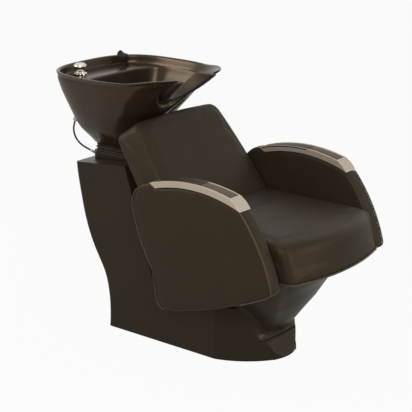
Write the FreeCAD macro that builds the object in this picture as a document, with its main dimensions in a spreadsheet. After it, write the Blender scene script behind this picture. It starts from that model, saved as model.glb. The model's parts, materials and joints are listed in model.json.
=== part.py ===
import FreeCAD, Part
import Sketcher
import math
import os

# Salon backwash unit, millimetres. X runs across the chair, the sitter faces -Y, Z is up and
# the floor is Z 0. The origin is on the floor, on the unit's plane of symmetry.

V = FreeCAD.Vector
DIMENSIONS = {
    # base shell: side profile from the toe back to the pillar
    "base_half_width": 183, "base_wall": 6, "toe_y": -338, "toe_z": 0, "ankle_y": -304, "ankle_z": 72,
    "shelf_z": 72, "riser_y": -288, "riser_top_y": -264, "seat_shelf_z": 190, "pillar_foot_y": 107,
    "pillar_knee_y": 216, "pillar_knee_z": 532, "pillar_front_y": 242, "pillar_front_z": 613,
    "pillar_rear_y": 478, "pillar_rear_z": 591, "nape_y": 472, "nape_z": 540, "neck_y": 462, "neck_z": 486,
    "calf_y": 434, "calf_z": 369, "hollow_y": 382, "hollow_z": 256, "waist_y": 353, "waist_z": 205,
    "heel_y": 338, "heel_z": 157, "sole_y": 332, "sole_z": 0, "shell_corner": 12,
    # base shell: plan taper of the toe
    "taper_start_y": -159, "taper_mid_half": 138, "taper_mid_y": -251, "toe_half": 57, "toe_side_y": -326,
    "toe_mid_y": -335,
    # steel frame
    "plate_thick": 8, "plate_half": 130, "plate_front_y": -150, "plate_rear_y": 316,
    "anchor_spacing_across": 200, "anchor_spacing_along": 300, "anchor_radius": 6, "anchor_mid_y": 100,
    "tube_wall": 4, "post_width": 60, "post_rear_y": 312, "post_plate_z": 576, "post_plate_rear_y": 372,
    "column_width": 80, "column_rear_y": -30, "rail_low_z": 318, "rail_width": 40, "rail_height": 20,
    "rail_outer_x": 140, "rail_front_y": -400, "rail_rear_y": 50, "flat_thick": 6, "flat_width": 40,
    "front_flat_y": -320, "rear_flat_y": -140, "tab_height": 44,
    # seat
    "board_thick": 18, "board_inset": 26, "board_setback": 62, "seat_half": 264, "seat_low_half": 248,
    "seat_rear_y": 18, "seat_front_y": -534, "seat_bow": 61, "seat_low_bow": 31, "seat_low_z": 362,
    "seat_crease_z": 494, "seat_top_z": 505, "seat_lean": 41,
    # belly hull under the seat
    "belly_wall": 6, "belly_rear_y": 60, "belly_rim_z": 338, "belly_rim_half": 238, "belly_rim_y": -488,
    # backrest, laid out in its own plane: up along the board and out towards the sitter
    "recline": 53.53, "back_foot_y": -22.5, "back_foot_z": 364.8, "back_length": 453, "back_low_half": 264,
    "back_high_half": 224, "bracket_low": 138, "bracket_high": 278, "back_board": 15, "back_depth": 112,
    "back_corner": 34, "back_bolt_x": 80, "back_bolt_inset": 20, "back_arm_half": 20,
    "back_arm_front_y": 60, "back_arm_low_z": 500, "back_arm_high_z": 540,
    # armrests
    "arm_inner_x": 271, "arm_outer_x": 329, "arm_edge": 7, "arm_nose_y": -375, "arm_nose_z": 600,
    "arm_crown_y": -185, "arm_crown_z": 637, "arm_heel_y": -25, "arm_heel_z": 615, "cap_heel_y": 1,
    "cap_heel_z": 629, "shoulder_y": 62, "shoulder_z": 598, "arm_back_y": 81, "arm_back_z": 546,
    "arm_sweep_y": 52, "arm_sweep_z": 440, "arm_tuck_y": -5, "arm_tuck_z": 332, "arm_hip_y": -22,
    "arm_hip_z": 232, "hip_via_y": -31, "hip_via_z": 208, "arm_foot_y": -57, "arm_foot_z": 198,
    "arm_sole_y": -92, "arm_sole_z": 198, "keel_y": -292, "keel_z": 256, "prow_y": -489, "prow_z": 340,
    "prow_tip_y": -503, "prow_tip_z": 353, "arm_front_y": -465, "arm_front_z": 462,
    "cap_chin_y": -358, "cap_chin_z": 621, "cap_brow_y": -337, "cap_brow_z": 636, "cap_crown_y": -172,
    "cap_crown_z": 658, "pad_front_y": -331, "pad_rear_y": -14, "pad_depth": 10, "pad_gap": 0.8,
    "pad_lip_out": 8, "pad_lip_in": 5,
    # neck between pillar and basin
    "collar_half": 116, "collar_front_y": 254, "collar_rear_y": 466, "collar_top_z": 622, "collar_wall": 9,
    "gaiter_half": 111, "gaiter_front_y": 260, "gaiter_rear_y": 461, "gaiter_top_z": 644, "gaiter_wall": 3,
    "neck_corner": 35, "opening_half": 85, "opening_front_y": 266, "opening_rear_y": 426,
    # tilt pivot
    "pivot_y": 345, "pivot_z": 612, "pivot_radius": 8, "pivot_fit": 0.05, "cheek_inner_x": 40,
    "cheek_thick": 6, "cheek_half": 24, "cheek_top_z": 628, "lug_thick": 8, "disc_radius": 20,
    "carrier_z": 642, "carrier_thick": 6, "carrier_half": 80, "carrier_front_y": 272, "carrier_rear_y": 430,
    "yoke_thick": 8, "yoke_front": 55, "yoke_bolt_x": 24, "yoke_bolt_front": 46, "yoke_bolt_rear": 12,
    "carrier_bolt_x": 64, "carrier_bolt_inset": 16, "lug_inner_x": 30, "lug_radius": 14,
    # basin: half width, front and rear at a few heights
    "basin_wall": 9, "basin_low_z": 648, "basin_rim_z": 915, "deck_z": 882, "deck_front_y": 470,
    "bowl_floor_z": 666, "notch_half": 106, "notch_top_z": 926, "notch_depth": 108, "notch_front_y": 40,
    "notch_rear_y": 250, "rest_thick": 13, "rest_arm_thick": 30, "rest_width": 42, "rest_slope": 43,
    "rest_y": 226, "rest_z": 806, "drain_y": 395, "drain_radius": 20,
    "flange_radius": 34, "flange_thick": 2,
    # plumbing and small fittings
    "mixer_x": -107, "mixer_y": 516, "mixer_radius": 24, "mixer_shank": 12, "mixer_body_height": 12,
    "turret_radius": 17, "turret_fit": 0.05, "turret_top_z": 897, "lever_low_z": 903, "lever_pin_z": 905.5,
    "tongue_half": 3, "slot_gap": 0.4, "handset_x": 140, "handset_y": 532, "handset_radius": 13,
    "holder_radius": 17, "hose_diameter": 6.5, "gland_radius": 8,
    "trap_radius": 28, "trap_y": 395, "trap_top_z": 480, "trap_low_z": 400, "pipe_radius": 16,
    "pipe_x": 75, "pipe_y": 275, "cover_half": 112, "cover_low_z": 44, "cover_high_z": 150,
    "cover_thick": 3,
}

doc = FreeCAD.newDocument("backwash_unit")
sheet = doc.addObject("Spreadsheet::Sheet", "dims")
for row, (alias, value) in enumerate(DIMENSIONS.items(), start=1):
    sheet.set("A%d" % row, alias)
    sheet.set("B%d" % row, str(value))
    sheet.setAlias("B%d" % row, alias)
doc.recompute()


class Size(float):
    """A number worked out from the sheet, with the expression that gives it."""

    def __new__(cls, value, text):
        made = super().__new__(cls, value)
        made.text = text
        return made

    def _join(self, other, sign, value, flipped=False):
        first, second = (text_of(other), self.text) if flipped else (self.text, text_of(other))
        return Size(value, "(%s %s %s)" % (first, sign, second))

    def __add__(self, other):
        return self._join(other, "+", float(self) + float(other))

    def __radd__(self, other):
        return self._join(other, "+", float(other) + float(self), True)

    def __sub__(self, other):
        return self._join(other, "-", float(self) - float(other))

    def __rsub__(self, other):
        return self._join(other, "-", float(other) - float(self), True)

    def __mul__(self, other):
        return self._join(other, "*", float(self) * float(other))

    def __rmul__(self, other):
        return self._join(other, "*", float(other) * float(self), True)

    def __truediv__(self, other):
        return self._join(other, "/", float(self) / float(other))

    def __neg__(self):
        return Size(-float(self), "(0 - %s)" % self.text)


def text_of(number):
    return number.text if isinstance(number, Size) else repr(float(number))


class Sheet:
    """Reads the sheet's cells by alias as numbers that keep their expression."""

    def __getattr__(self, alias):
        return Size(sheet.get(alias), "dims." + alias)


D = Sheet()


def bind(obj, prop, number):
    """Sets a property by expression where the number comes from the sheet."""
    if isinstance(number, Size):
        obj.setExpression(prop, number.text)
    else:
        path = prop.split(".")
        if len(path) == 1:
            setattr(obj, prop, number)
        else:
            obj.setExpression(prop, repr(float(number)))


def place(obj, at, rotation=None, prop="Placement"):
    """Puts an object at a point whose coordinates are bound one by one."""
    setattr(obj, prop, FreeCAD.Placement(V(*[float(c) for c in at]), rotation or FreeCAD.Rotation()))
    for axis, coordinate in zip("xyz", at):
        if isinstance(coordinate, Size):
            obj.setExpression("%s.Base.%s" % (prop, axis), coordinate.text)


def about(axis, degrees):
    return FreeCAD.Rotation(V(*axis), degrees)


ACROSS = (1, 0, 0)
ALONG = (0, 1, 0)
UPRIGHT = FreeCAD.Rotation()
ALONG_X = about(ALONG, 90)
ALONG_Y = about(ACROSS, -90)


def box(name, low, high, rotation=None):
    """A block between two corners, each coordinate bound to the sheet."""
    block = doc.addObject("Part::Box", name)
    for prop, near, far in zip(("Length", "Width", "Height"), low, high):
        bind(block, prop, far - near)
    place(block, low, rotation)
    return block


def rod(name, at, radius, length, rotation=UPRIGHT):
    """A cylinder that starts at a point and runs along the rotated Z axis."""
    cylinder = doc.addObject("Part::Cylinder", name)
    bind(cylinder, "Radius", radius)
    bind(cylinder, "Height", length)
    place(cylinder, at, rotation)
    return cylinder


def fuse(name, shapes):
    union = doc.addObject("Part::MultiFuse", name)
    union.Shapes = shapes
    return union


def cut(name, base, tool):
    difference = doc.addObject("Part::Cut", name)
    difference.Base = base
    difference.Tool = tool
    return difference


def common(name, base, tool):
    overlap = doc.addObject("Part::Common", name)
    overlap.Base = base
    overlap.Tool = tool
    return overlap


def group(name, pieces):
    """Separate like pieces kept as one node."""
    together = doc.addObject("Part::Compound", name)
    together.Links = pieces
    return together


def new_body(name):
    return doc.addObject("PartDesign::Body", name)


def new_sketch(body, name, role, offset=0.0):
    """A sketch on one of the body's origin planes, moved along the plane's normal."""
    sketch = body.newObject("Sketcher::SketchObject", name)
    plane = [feature for feature in body.Origin.OriginFeatures if feature.Role == role][0]
    sketch.AttachmentSupport = [(plane, "")]
    sketch.MapMode = "FlatFace"
    place(sketch, (0, 0, offset), prop="AttachmentOffset")
    return sketch


def rectangle(sketch, left, right, low, high):
    """A constrained rectangle whose four sides are bound to the sheet."""
    corners = [V(left, low, 0), V(right, low, 0), V(right, high, 0), V(left, high, 0)]
    first = sketch.GeometryCount
    for turn in range(4):
        sketch.addGeometry(Part.LineSegment(corners[turn], corners[(turn + 1) % 4]), False)
    for turn in range(4):
        sketch.addConstraint(Sketcher.Constraint("Coincident", first + turn, 2, first + (turn + 1) % 4, 1))
    for turn, kind in enumerate(("Horizontal", "Vertical", "Horizontal", "Vertical")):
        sketch.addConstraint(Sketcher.Constraint(kind, first + turn))
    for kind, edge, number in (("DistanceX", 0, left), ("DistanceY", 0, low),
                               ("DistanceX", 2, right), ("DistanceY", 2, high)):
        rule = sketch.addConstraint(Sketcher.Constraint(kind, -1, 1, first + edge, 1, float(number)))
        if isinstance(number, Size):
            sketch.setExpression("Constraints[%d]" % rule, number.text)


def circle(sketch, across, along, radius):
    """A circle held by its centre and its radius."""
    ring = sketch.addGeometry(Part.Circle(V(across, along, 0), V(0, 0, 1), float(radius)), False)
    for kind, number in (("DistanceX", across), ("DistanceY", along)):
        rule = sketch.addConstraint(Sketcher.Constraint(kind, -1, 1, ring, 3, float(number)))
        if isinstance(number, Size):
            sketch.setExpression("Constraints[%d]" % rule, number.text)
    rule = sketch.addConstraint(Sketcher.Constraint("Radius", ring, float(radius)))
    sketch.setExpression("Constraints[%d]" % rule, text_of(radius))


def spot(name):
    """A named point of a side profile, as the sketch plane sees it."""
    return V(getattr(D, name + "_y"), getattr(D, name + "_z"), 0)


def profile(start, steps):
    """A closed wire through named points: a name is a straight run, a pair an arc through two."""
    here = spot(start)
    edges = []
    for step in steps:
        if isinstance(step, tuple):
            edges.append(Part.Arc(here, spot(step[0]), spot(step[1])).toShape())
            here = spot(step[1])
        else:
            edges.append(Part.LineSegment(here, spot(step)).toShape())
            here = spot(step)
    edges.append(Part.LineSegment(here, spot(start)).toShape())
    return Part.Wire(edges)


def draw(sketch, wire):
    """Adds a wire's lines and arcs to a sketch."""
    for edge in wire.OrderedEdges:
        ends = (edge.firstVertex(True).Point, edge.lastVertex(True).Point)
        if isinstance(edge.Curve, Part.Line):
            sketch.addGeometry(Part.LineSegment(*ends), False)
        else:
            middle = edge.valueAt((edge.FirstParameter + edge.LastParameter) / 2)
            sketch.addGeometry(Part.Arc(ends[0], middle, ends[1]), False)


def pad(body, name, sketch, length, side="One side", reverse=False):
    feature = body.newObject("PartDesign::Pad", name)
    feature.Profile = sketch
    bind(feature, "Length", length)
    feature.SideType = side
    feature.Reversed = reverse
    return feature


def pocket(body, name, sketch, length, side="Symmetric", reverse=False):
    """Cuts a sketch out of the body and makes sure that something was removed."""
    doc.recompute()
    before = body.Shape.Volume
    feature = body.newObject("PartDesign::Pocket", name)
    feature.Profile = sketch
    bind(feature, "Length", length)
    feature.SideType = side
    feature.Reversed = reverse
    doc.recompute()
    if body.Shape.Volume >= before:
        raise RuntimeError("%s cuts nothing" % name)
    return feature


def round_edges(body, name, radius, wanted):
    """Fillets the edges of the body's last feature that a test picks out."""
    doc.recompute()
    base = body.Tip
    chosen = ["Edge%d" % (index + 1) for index, edge in enumerate(base.Shape.Edges) if wanted(edge)]
    feature = body.newObject("PartDesign::Fillet", name)
    feature.Base = (base, chosen)
    bind(feature, "Radius", radius)
    return feature


def pillow(sketch, corners, radius, bulges):
    """A closed outline of eight arcs: four rounded corners and four sides that swell outwards.

    The corners run counter-clockwise from the front left, and the bulges are those of the
    front, right, rear and left side.
    """
    points = [V(across, along, 0) for across, along in corners]
    starts, middles, ends = [], [], []
    for index, corner in enumerate(points):
        back = (points[index - 1] - corner).normalize()
        ahead = (points[(index + 1) % 4] - corner).normalize()
        half = back.getAngle(ahead) / 2
        bisector = (back + ahead).normalize()
        reach = float(radius)
        starts.append(corner + back * reach)
        ends.append(corner + ahead * reach)
        middles.append(corner + bisector * (reach / math.cos(half) - reach * math.tan(half)))
    for index in range(4):
        following = (index + 1) % 4
        side = starts[following] - ends[index]
        outward = V(side.y, -side.x, 0).normalize()
        belly = (ends[index] + starts[following]) / 2 + outward * float(bulges[index])
        sketch.addGeometry(Part.Arc(ends[index], belly, starts[following]), False)
        sketch.addGeometry(Part.Arc(starts[following], middles[following], ends[following]), False)


def loft(body, kind, name, sections):
    feature = body.newObject("PartDesign::" + kind, name)
    feature.Profile = sections[0]
    feature.Sections = sections[1:]
    return feature


def pillow_body(name, layers):
    """A padded form lofted through outlines at rising heights."""
    body = new_body(name)
    sections = []
    for index, (height, corners, radius, bulges) in enumerate(layers):
        sketch = new_sketch(body, "%s_layer_%d" % (name, index), "XY_Plane", height)
        pillow(sketch, corners, radius, bulges)
        sections.append(sketch)
    loft(body, "AdditiveLoft", name + "_form", sections)
    return body


def quad(low_half, high_half, front, rear):
    """Corners of an outline that is symmetric about X 0."""
    return [(-low_half, front), (low_half, front), (high_half, rear), (-high_half, rear)]


# Base shell: a moulded cover with a toe, two shelves and a leaning pillar

BASE_FRONT = ("toe", "ankle", "riser_low", "riser_high", "pillar_foot", "pillar_knee",
              "pillar_front", "pillar_rear")
BASE_REAR = ("nape", "neck", "calf", "hollow", "waist", "heel")
BASE_DERIVED = {"riser_low": ("riser_y", "shelf_z"), "riser_high": ("riser_top_y", "seat_shelf_z"),
                "pillar_foot": ("pillar_foot_y", "seat_shelf_z")}


def base_point(name):
    """A corner of the base's side profile; the two shelves share their heights."""
    along, height = BASE_DERIVED.get(name, (name + "_y", name + "_z"))
    return V(getattr(D, along), getattr(D, height), 0)


def draw_base_side(sketch, inset):
    """Straight runs over toe, shelves and pillar, then one smooth curve down the back."""
    corners = [base_point(name) for name in BASE_FRONT + ("sole",)]
    ring = Part.makePolygon(corners + corners[:1])
    if inset:
        ring = ring.makeOffset2D(-float(inset), 2)
        near = [min(ring.Vertexes, key=lambda v: v.Point.distanceToPoint(corner)) for corner in corners]
        corners = [vertex.Point for vertex in near]
    for here, ahead in zip(corners[:-2], corners[1:-1]):
        sketch.addGeometry(Part.LineSegment(here, ahead), False)
    back = [corners[-2]] + [base_point(name) - V(inset, 0, 0) for name in BASE_REAR] + [corners[-1]]
    curve = Part.BSplineCurve()
    curve.interpolate(back)
    sketch.addGeometry(curve, False)
    sketch.addGeometry(Part.LineSegment(corners[-1], corners[0]), False)


def base_form(name, inset, corner):
    """The base's outside, or its inside when the profile is drawn in by the wall."""
    body = new_body(name)
    side = new_sketch(body, name + "_side", "YZ_Plane")
    draw_base_side(side, inset)
    pad(body, name + "_bulk", side, (D.base_half_width - inset) * 2, "Symmetric")
    far = D.toe_y - 60
    out = D.base_half_width + 60
    for sign, hand in ((-1, "right"), (1, "left")):
        plan = new_sketch(body, "%s_taper_%s" % (name, hand), "XY_Plane")
        side = [V(sign * (D.base_half_width - inset), D.taper_start_y, 0),
                V(sign * (D.taper_mid_half - inset), D.taper_mid_y, 0),
                V(sign * (D.toe_half - inset), D.toe_side_y + inset, 0)]
        nose = [side[2], V(sign * D.toe_half / 2, D.toe_mid_y + inset, 0),
                V(0, D.toe_y + inset - 0.5, 0)]
        corners = [nose[2], V(0, far, 0), V(sign * out, far, 0), V(sign * out, D.taper_start_y, 0), side[0]]
        plan.addGeometry(Part.Arc(*side), False)
        plan.addGeometry(Part.Arc(*nose), False)
        for near, next_corner in zip(corners, corners[1:]):
            plan.addGeometry(Part.LineSegment(near, next_corner), False)
        pocket(body, "%s_taper_cut_%s" % (name, hand), plan, 2 * D.pillar_front_z)
    half = float(D.base_half_width - inset)

    def rear_corner(segment):
        middle = segment.valueAt((segment.FirstParameter + segment.LastParameter) / 2)
        return isinstance(segment.Curve, Part.BSplineCurve) and abs(abs(middle.x) - half) < 0.5

    round_edges(body, name + "_rear_corners", corner, rear_corner)
    return body


def make_base_shell():
    outside = base_form("base_outside", 0, D.shell_corner)
    inside = base_form("base_inside", D.base_wall, D.shell_corner - D.base_wall)
    below = box("base_bottom_mouth", (-D.base_half_width + D.base_wall, D.taper_start_y, -D.base_wall),
                (D.base_half_width - D.base_wall, D.sole_y - D.base_wall, D.base_wall + 1))
    top = box("base_top_mouth", (-D.opening_half, D.opening_front_y, D.pillar_rear_z - 30),
              (D.opening_half, D.opening_rear_y, D.pillar_front_z + 20))
    column = box("base_column_mouth",
                 (-D.column_width / 2 - 1, D.column_rear_y - D.column_width - 1, D.seat_shelf_z - 20),
                 (D.column_width / 2 + 1, D.column_rear_y + 1, D.seat_shelf_z + 10))
    bracket = box("base_bracket_mouth", (-22, D.pillar_knee_y - 60, 498), (22, D.pillar_front_y + 40, 542))
    service = box("base_service_mouth",
                  (-D.cover_half + 12, D.heel_y - 40, D.cover_low_z + 12),
                  (D.cover_half - 12, D.heel_y + 40, D.cover_high_z - 12))
    hollow = fuse("base_hollows", [inside, below, top, column, bracket, service])
    return cut("base_shell", outside, hollow)


def make_access_cover():
    """A plate over the service opening, leaning with the shell's rear face, and its four screws."""
    lean = math.degrees(math.atan2(D.heel_y - D.sole_y, D.heel_z - D.sole_z))
    face_y = D.sole_y + (D.heel_y - D.sole_y) * (D.cover_low_z / D.heel_z) + 0.1
    tilt = about(ACROSS, -lean)
    plate = box("cover_plate", (-D.cover_half, face_y, D.cover_low_z),
                (D.cover_half, face_y + D.cover_thick, D.cover_high_z), tilt)
    screws, holes = [], []
    for across in (-1, 1):
        for low in (8, D.cover_high_z - D.cover_low_z - 8):
            start = V(across * (D.cover_half - 8), face_y, D.cover_low_z) + tilt.multVec(V(0, 0, low))
            tag = "%s_%d" % ("left" if across > 0 else "right", int(low > 20))
            holes.append(rod("cover_hole_" + tag, start - tilt.multVec(V(0, 1, 0)), 2.1, 6, tilt * ALONG_Y))
            screws.append(rod("cover_screw_" + tag, start, 2, D.cover_thick + 1.2, tilt * ALONG_Y))
    cut("rear_access_cover", plate, fuse("cover_holes", holes))
    group("cover_screws", screws)


VALVES_X = (-62, -100)


def make_base_plate():
    """The floor plate, with four anchor holes by pattern and a hole for each pipe."""
    body = new_body("base_plate")
    outline = new_sketch(body, "plate_outline", "XY_Plane")
    rectangle(outline, -D.plate_half, D.plate_half, D.plate_front_y, D.plate_rear_y)
    pad(body, "plate_sheet", outline, D.plate_thick)
    anchor = new_sketch(body, "plate_anchor", "XY_Plane")
    circle(anchor, -D.anchor_spacing_across / 2, D.anchor_mid_y - D.anchor_spacing_along / 2,
           D.anchor_radius)
    hole = pocket(body, "plate_anchor_hole", anchor, D.plate_thick * 4)
    doc.recompute()
    grid = body.newObject("PartDesign::MultiTransform", "plate_anchor_grid")
    grid.Originals = [hole]
    rows = []
    for tag, axis, spacing in (("across", "X_Axis", D.anchor_spacing_across),
                               ("along", "Y_Axis", D.anchor_spacing_along)):
        line = body.newObject("PartDesign::LinearPattern", "plate_pattern_" + tag)
        line.Direction = ([f for f in body.Origin.OriginFeatures if f.Role == axis][0], [""])
        bind(line, "Length", spacing)
        line.Occurrences = 2
        rows.append(line)
    grid.Transformations = rows
    body.Tip = grid
    doc.recompute()
    pipes = new_sketch(body, "plate_pipes", "XY_Plane")
    circle(pipes, D.pipe_x, D.pipe_y, D.pipe_radius + 2)
    for valve_x in VALVES_X:
        circle(pipes, valve_x, D.pipe_y, 10)
    pocket(body, "plate_pipe_holes", pipes, D.plate_thick * 4)
    return body


def hollow_tube(name, low, high, axis):
    """A box tube between two corners whose wall is the frame's tube wall, open along one axis."""
    outer = box(name + "_outer", low, high)
    inner_low = [c - 1 if turn == axis else c + D.tube_wall for turn, c in enumerate(low)]
    inner_high = [c + 1 if turn == axis else c - D.tube_wall for turn, c in enumerate(high)]
    inner = box(name + "_bore", inner_low, inner_high)
    return cut(name + "_tube", outer, inner)


def make_frame():
    """Post, seat column, rails, cross flats and the backrest's bracket."""
    half = D.post_width / 2
    post = hollow_tube("post", (-half, D.post_rear_y - D.post_width, D.plate_thick),
                       (half, D.post_rear_y, D.post_plate_z), 2)
    head = box("post_head", (-D.cheek_inner_x - 15, D.post_rear_y - D.post_width, D.post_plate_z),
               (D.cheek_inner_x + 15, D.post_plate_rear_y, D.post_plate_z + D.plate_thick))
    fuse("frame_post", [post, head])
    wide = D.column_width / 2
    column = hollow_tube("column", (-wide, D.column_rear_y - D.column_width, D.plate_thick),
                         (wide, D.column_rear_y, D.rail_low_z - D.plate_thick), 2)
    deck = box("column_head",
               (-D.rail_outer_x, D.column_rear_y - D.column_width - 20, D.rail_low_z - D.plate_thick),
               (D.rail_outer_x, D.column_rear_y + 20, D.rail_low_z))
    fuse("seat_column", [column, deck])
    rails, flats = [], []
    for hand, left, right in (("right", -D.rail_outer_x, -D.rail_outer_x + D.rail_width),
                              ("left", D.rail_outer_x - D.rail_width, D.rail_outer_x)):
        rails.append(hollow_tube("rail_" + hand, (left, D.rail_front_y, D.rail_low_z),
                                 (right, D.rail_rear_y, D.rail_low_z + D.rail_height), 1))
    group("seat_rails", rails)
    reach = D.arm_inner_x - 0.1
    low = D.rail_low_z + D.rail_height
    for tag, along in (("front", D.front_flat_y), ("rear", D.rear_flat_y)):
        bar = box("flat_" + tag, (-reach, along, low), (reach, along + D.flat_width, low + D.flat_thick))
        tabs = []
        for hand, inner, outer in (("right", -reach, -reach + 4), ("left", reach - 4, reach)):
            tab = box("tab_%s_%s" % (tag, hand), (inner, along, low),
                      (outer, along + D.flat_width, low + D.tab_height))
            bore = rod("tab_bore_%s_%s" % (tag, hand),
                       (inner - 2, along + D.flat_width / 2, low + D.tab_height - 12), 4.1, 10, ALONG_X)
            tabs.append(cut("tab_drilled_%s_%s" % (tag, hand), tab, bore))
        flats.append(fuse("crossbar_" + tag, [bar] + tabs))
    group("arm_crossbars", flats)


def backrest_placed(obj):
    """Stands a piece that was laid out flat up to the backrest's recline."""
    place(obj, (0, D.back_foot_y, D.back_foot_z), about(ACROSS, float(D.recline)))


def back_half(along):
    return D.back_low_half - (D.back_low_half - D.back_high_half) * (along / D.back_length)


def back_outline(inset, corner, bulge):
    """The backrest's tapered outline, drawn in by an inset."""
    low = back_half(float(inset)) - inset
    high = back_half(float(D.back_length - inset)) - inset
    return quad(low, high, inset, D.back_length - inset), corner, (bulge, bulge, bulge, bulge)


def make_backrest():
    """A reclined board, its crowned cushion, and the bracket to the post with its bolts."""
    board = new_body("backrest_board")
    layers = []
    for index, height in enumerate((0, D.back_board - 0.2)):
        sketch = new_sketch(board, "back_board_layer_%d" % index, "XY_Plane", height)
        pillow(sketch, *back_outline(5, 30, 1))
        layers.append(sketch)
    loft(board, "AdditiveLoft", "back_board_form", layers)
    backrest_placed(board)
    depth = D.back_depth
    cushion = pillow_body("backrest_cushion", [
        (D.back_board, *back_outline(4, 26, 4)),
        (D.back_board + 16, *back_outline(2, 30, 6)),
        (depth - 34, *back_outline(2, D.back_corner, 7)),
        (depth - 12, *back_outline(7, D.back_corner, 7)),
        (depth - 3, *back_outline(20, 40, 7)),
        (depth + 1, *back_outline(52, 60, 7))])
    backrest_placed(cushion)
    reclined = FreeCAD.Placement(V(0, D.back_foot_y, D.back_foot_z), about(ACROSS, float(D.recline)))
    plate = box("back_plate", (0, 0, 0), (200, D.bracket_high - D.bracket_low, 6))
    plate.Placement = reclined.multiply(FreeCAD.Placement(V(-100, D.bracket_low, -6.1), UPRIGHT))
    room = box("back_room", (0, 0, 0), (300, D.back_length, 200))
    room.Placement = reclined.multiply(FreeCAD.Placement(V(-150, 0, -6), UPRIGHT))
    arm = hollow_tube("back_arm", (-D.back_arm_half, D.back_arm_front_y, D.back_arm_low_z),
                      (D.back_arm_half, D.post_rear_y - D.post_width, D.back_arm_high_z), 1)
    trimmed = cut("back_arm_trimmed", arm, room)
    bolts, holes = [], []
    for across in (-D.back_bolt_x, D.back_bolt_x):
        for tier, along in enumerate((D.bracket_low + D.back_bolt_inset,
                                      D.bracket_high - D.back_bolt_inset)):
            start = reclined.multVec(V(across, along, -11))
            turn = reclined.Rotation
            tag = "%s_%d" % ("left" if across > 0 else "right", tier)
            head = rod("back_bolt_head_" + tag, start, 7, 4.9, turn)
            shank = rod("back_bolt_shank_" + tag, start, 3.95, 22, turn)
            holes.append(rod("back_bolt_hole_" + tag, start, 4.0, 23, turn))
            bolts.append(fuse("back_bolt_" + tag, [head, shank]))
    fixing_holes = fuse("back_bolt_holes", holes)
    cut("backrest_bracket", fuse("back_bracket_solid", [trimmed, plate]), fixing_holes)
    group("backrest_bolts", bolts)
    board.Label = "backrest_board_blank"
    drilled = cut("backrest_board_drilled", board, fixing_holes)
    drilled.Label = "backrest_board"


def seat_layer(height, drawn_in, radius, bulge):
    """One outline of the seat cushion: going down, the front leans forward and gets narrower."""
    rise = (height - D.seat_low_z) / (D.seat_crease_z - D.seat_low_z)
    front = D.seat_front_y + D.seat_lean * rise + drawn_in
    half = min(D.seat_low_half + (D.seat_half - D.seat_low_half) * rise, D.seat_half) - drawn_in
    bow = D.seat_low_bow + (D.seat_bow - D.seat_low_bow) * rise - bulge
    return (height, quad(half, half, front, D.seat_rear_y - drawn_in), radius, (bow, 0.6, 0.6, 0.6))


def make_seat():
    """The seat board, set back under the front, and the crowned cushion with its bowed front."""
    half = D.seat_half - D.board_inset
    board = quad(half, half, D.seat_front_y + D.board_setback, D.seat_rear_y - D.board_inset)
    pillow_body("seat_board", [(height, board, 24, (D.seat_low_bow, 0.6, 0.6, 0.6))
                               for height in (D.seat_low_z - D.board_thick, D.seat_low_z - 0.2)])
    cushion = pillow_body("seat_cushion_blank", [
        seat_layer(D.seat_low_z, 6, 24, 0),
        seat_layer(D.seat_low_z + 12, 0.5, 28, 0),
        seat_layer(D.seat_crease_z - 30, 0.5, 30, 2),
        seat_layer(D.seat_crease_z - 8, 6, 32, 4),
        seat_layer(D.seat_crease_z + 4, 24, 40, 8),
        seat_layer(D.seat_top_z, 70, 50, 16)])
    behind = box("seat_back_room", (0, 0, 0), (600, 500, 400))
    leaning = FreeCAD.Placement(V(-300, D.back_foot_y, D.back_foot_z), about(ACROSS, float(D.recline)))
    behind.Placement = leaning.multiply(
        FreeCAD.Placement(V(0, -200, D.back_depth + 1.5 - 400), UPRIGHT))
    cut("seat_cushion", cushion, behind)


# Belly hull outlines from the foot up: half width, front, corner reach and bow; height first above it
BELLY_FOOT = (72, -284, 32, 12)
BELLY_LAYERS = ((100, 84, -304, 36, 13), (126, 96, -326, 40, 14), (150, 112, -342, 46, 16),
                (200, 150, -374, 60, 16), (262, 198, -404, 80, 20))


def belly_form(name, inset, floor_z, rim_z):
    """The belly hull's outside, or its inside when drawn in by the wall."""
    rows = [(floor_z, *BELLY_FOOT), *BELLY_LAYERS,
            (rim_z, D.belly_rim_half, D.belly_rim_y + 50, 90, 50)]
    layers = [(height, quad(half - inset, half - inset, front + inset, D.belly_rear_y - inset),
               reach, (bow, 2, 2, 2)) for height, half, front, reach, bow in rows]
    return pillow_body(name, layers)


def step_form(name, out, up):
    """The base's riser and upper shelf as a solid under them, moved forward and up."""
    body = new_body(name)
    side = new_sketch(body, name + "_side", "YZ_Plane")
    corners = [V(D.riser_y - out, 0, 0), V(D.riser_y - out, D.shelf_z + up, 0),
               V(D.riser_top_y - out, D.seat_shelf_z + up, 0), V(300, D.seat_shelf_z + up, 0), V(300, 0, 0)]
    for here, ahead in zip(corners, corners[1:] + corners[:1]):
        side.addGeometry(Part.LineSegment(here, ahead), False)
    pad(body, name + "_bulk", side, 600, "Symmetric")
    return body


def make_belly():
    """A moulded hull under the seat that stands on the base's two shelves."""
    hull = belly_form("belly_outside", 0, D.shelf_z + 0.3, D.belly_rim_z)
    step = step_form("belly_step", 0.4, 0.3)
    inner = belly_form("belly_inside", D.belly_wall, D.shelf_z + D.belly_wall, D.belly_rim_z + 2)
    inner_step = step_form("belly_inner_step", D.belly_wall + 1, D.belly_wall)
    room = cut("belly_room", inner, inner_step)
    mouth = box("belly_column_mouth",
                (-D.column_width / 2 - 1, D.column_rear_y - D.column_width - 1, D.seat_shelf_z - 20),
                (D.column_width / 2 + 1, D.column_rear_y + 1, D.seat_shelf_z + 20))
    cut("belly_shell", cut("belly_stepped", hull, step), fuse("belly_hollows", [room, mouth]))


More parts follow.
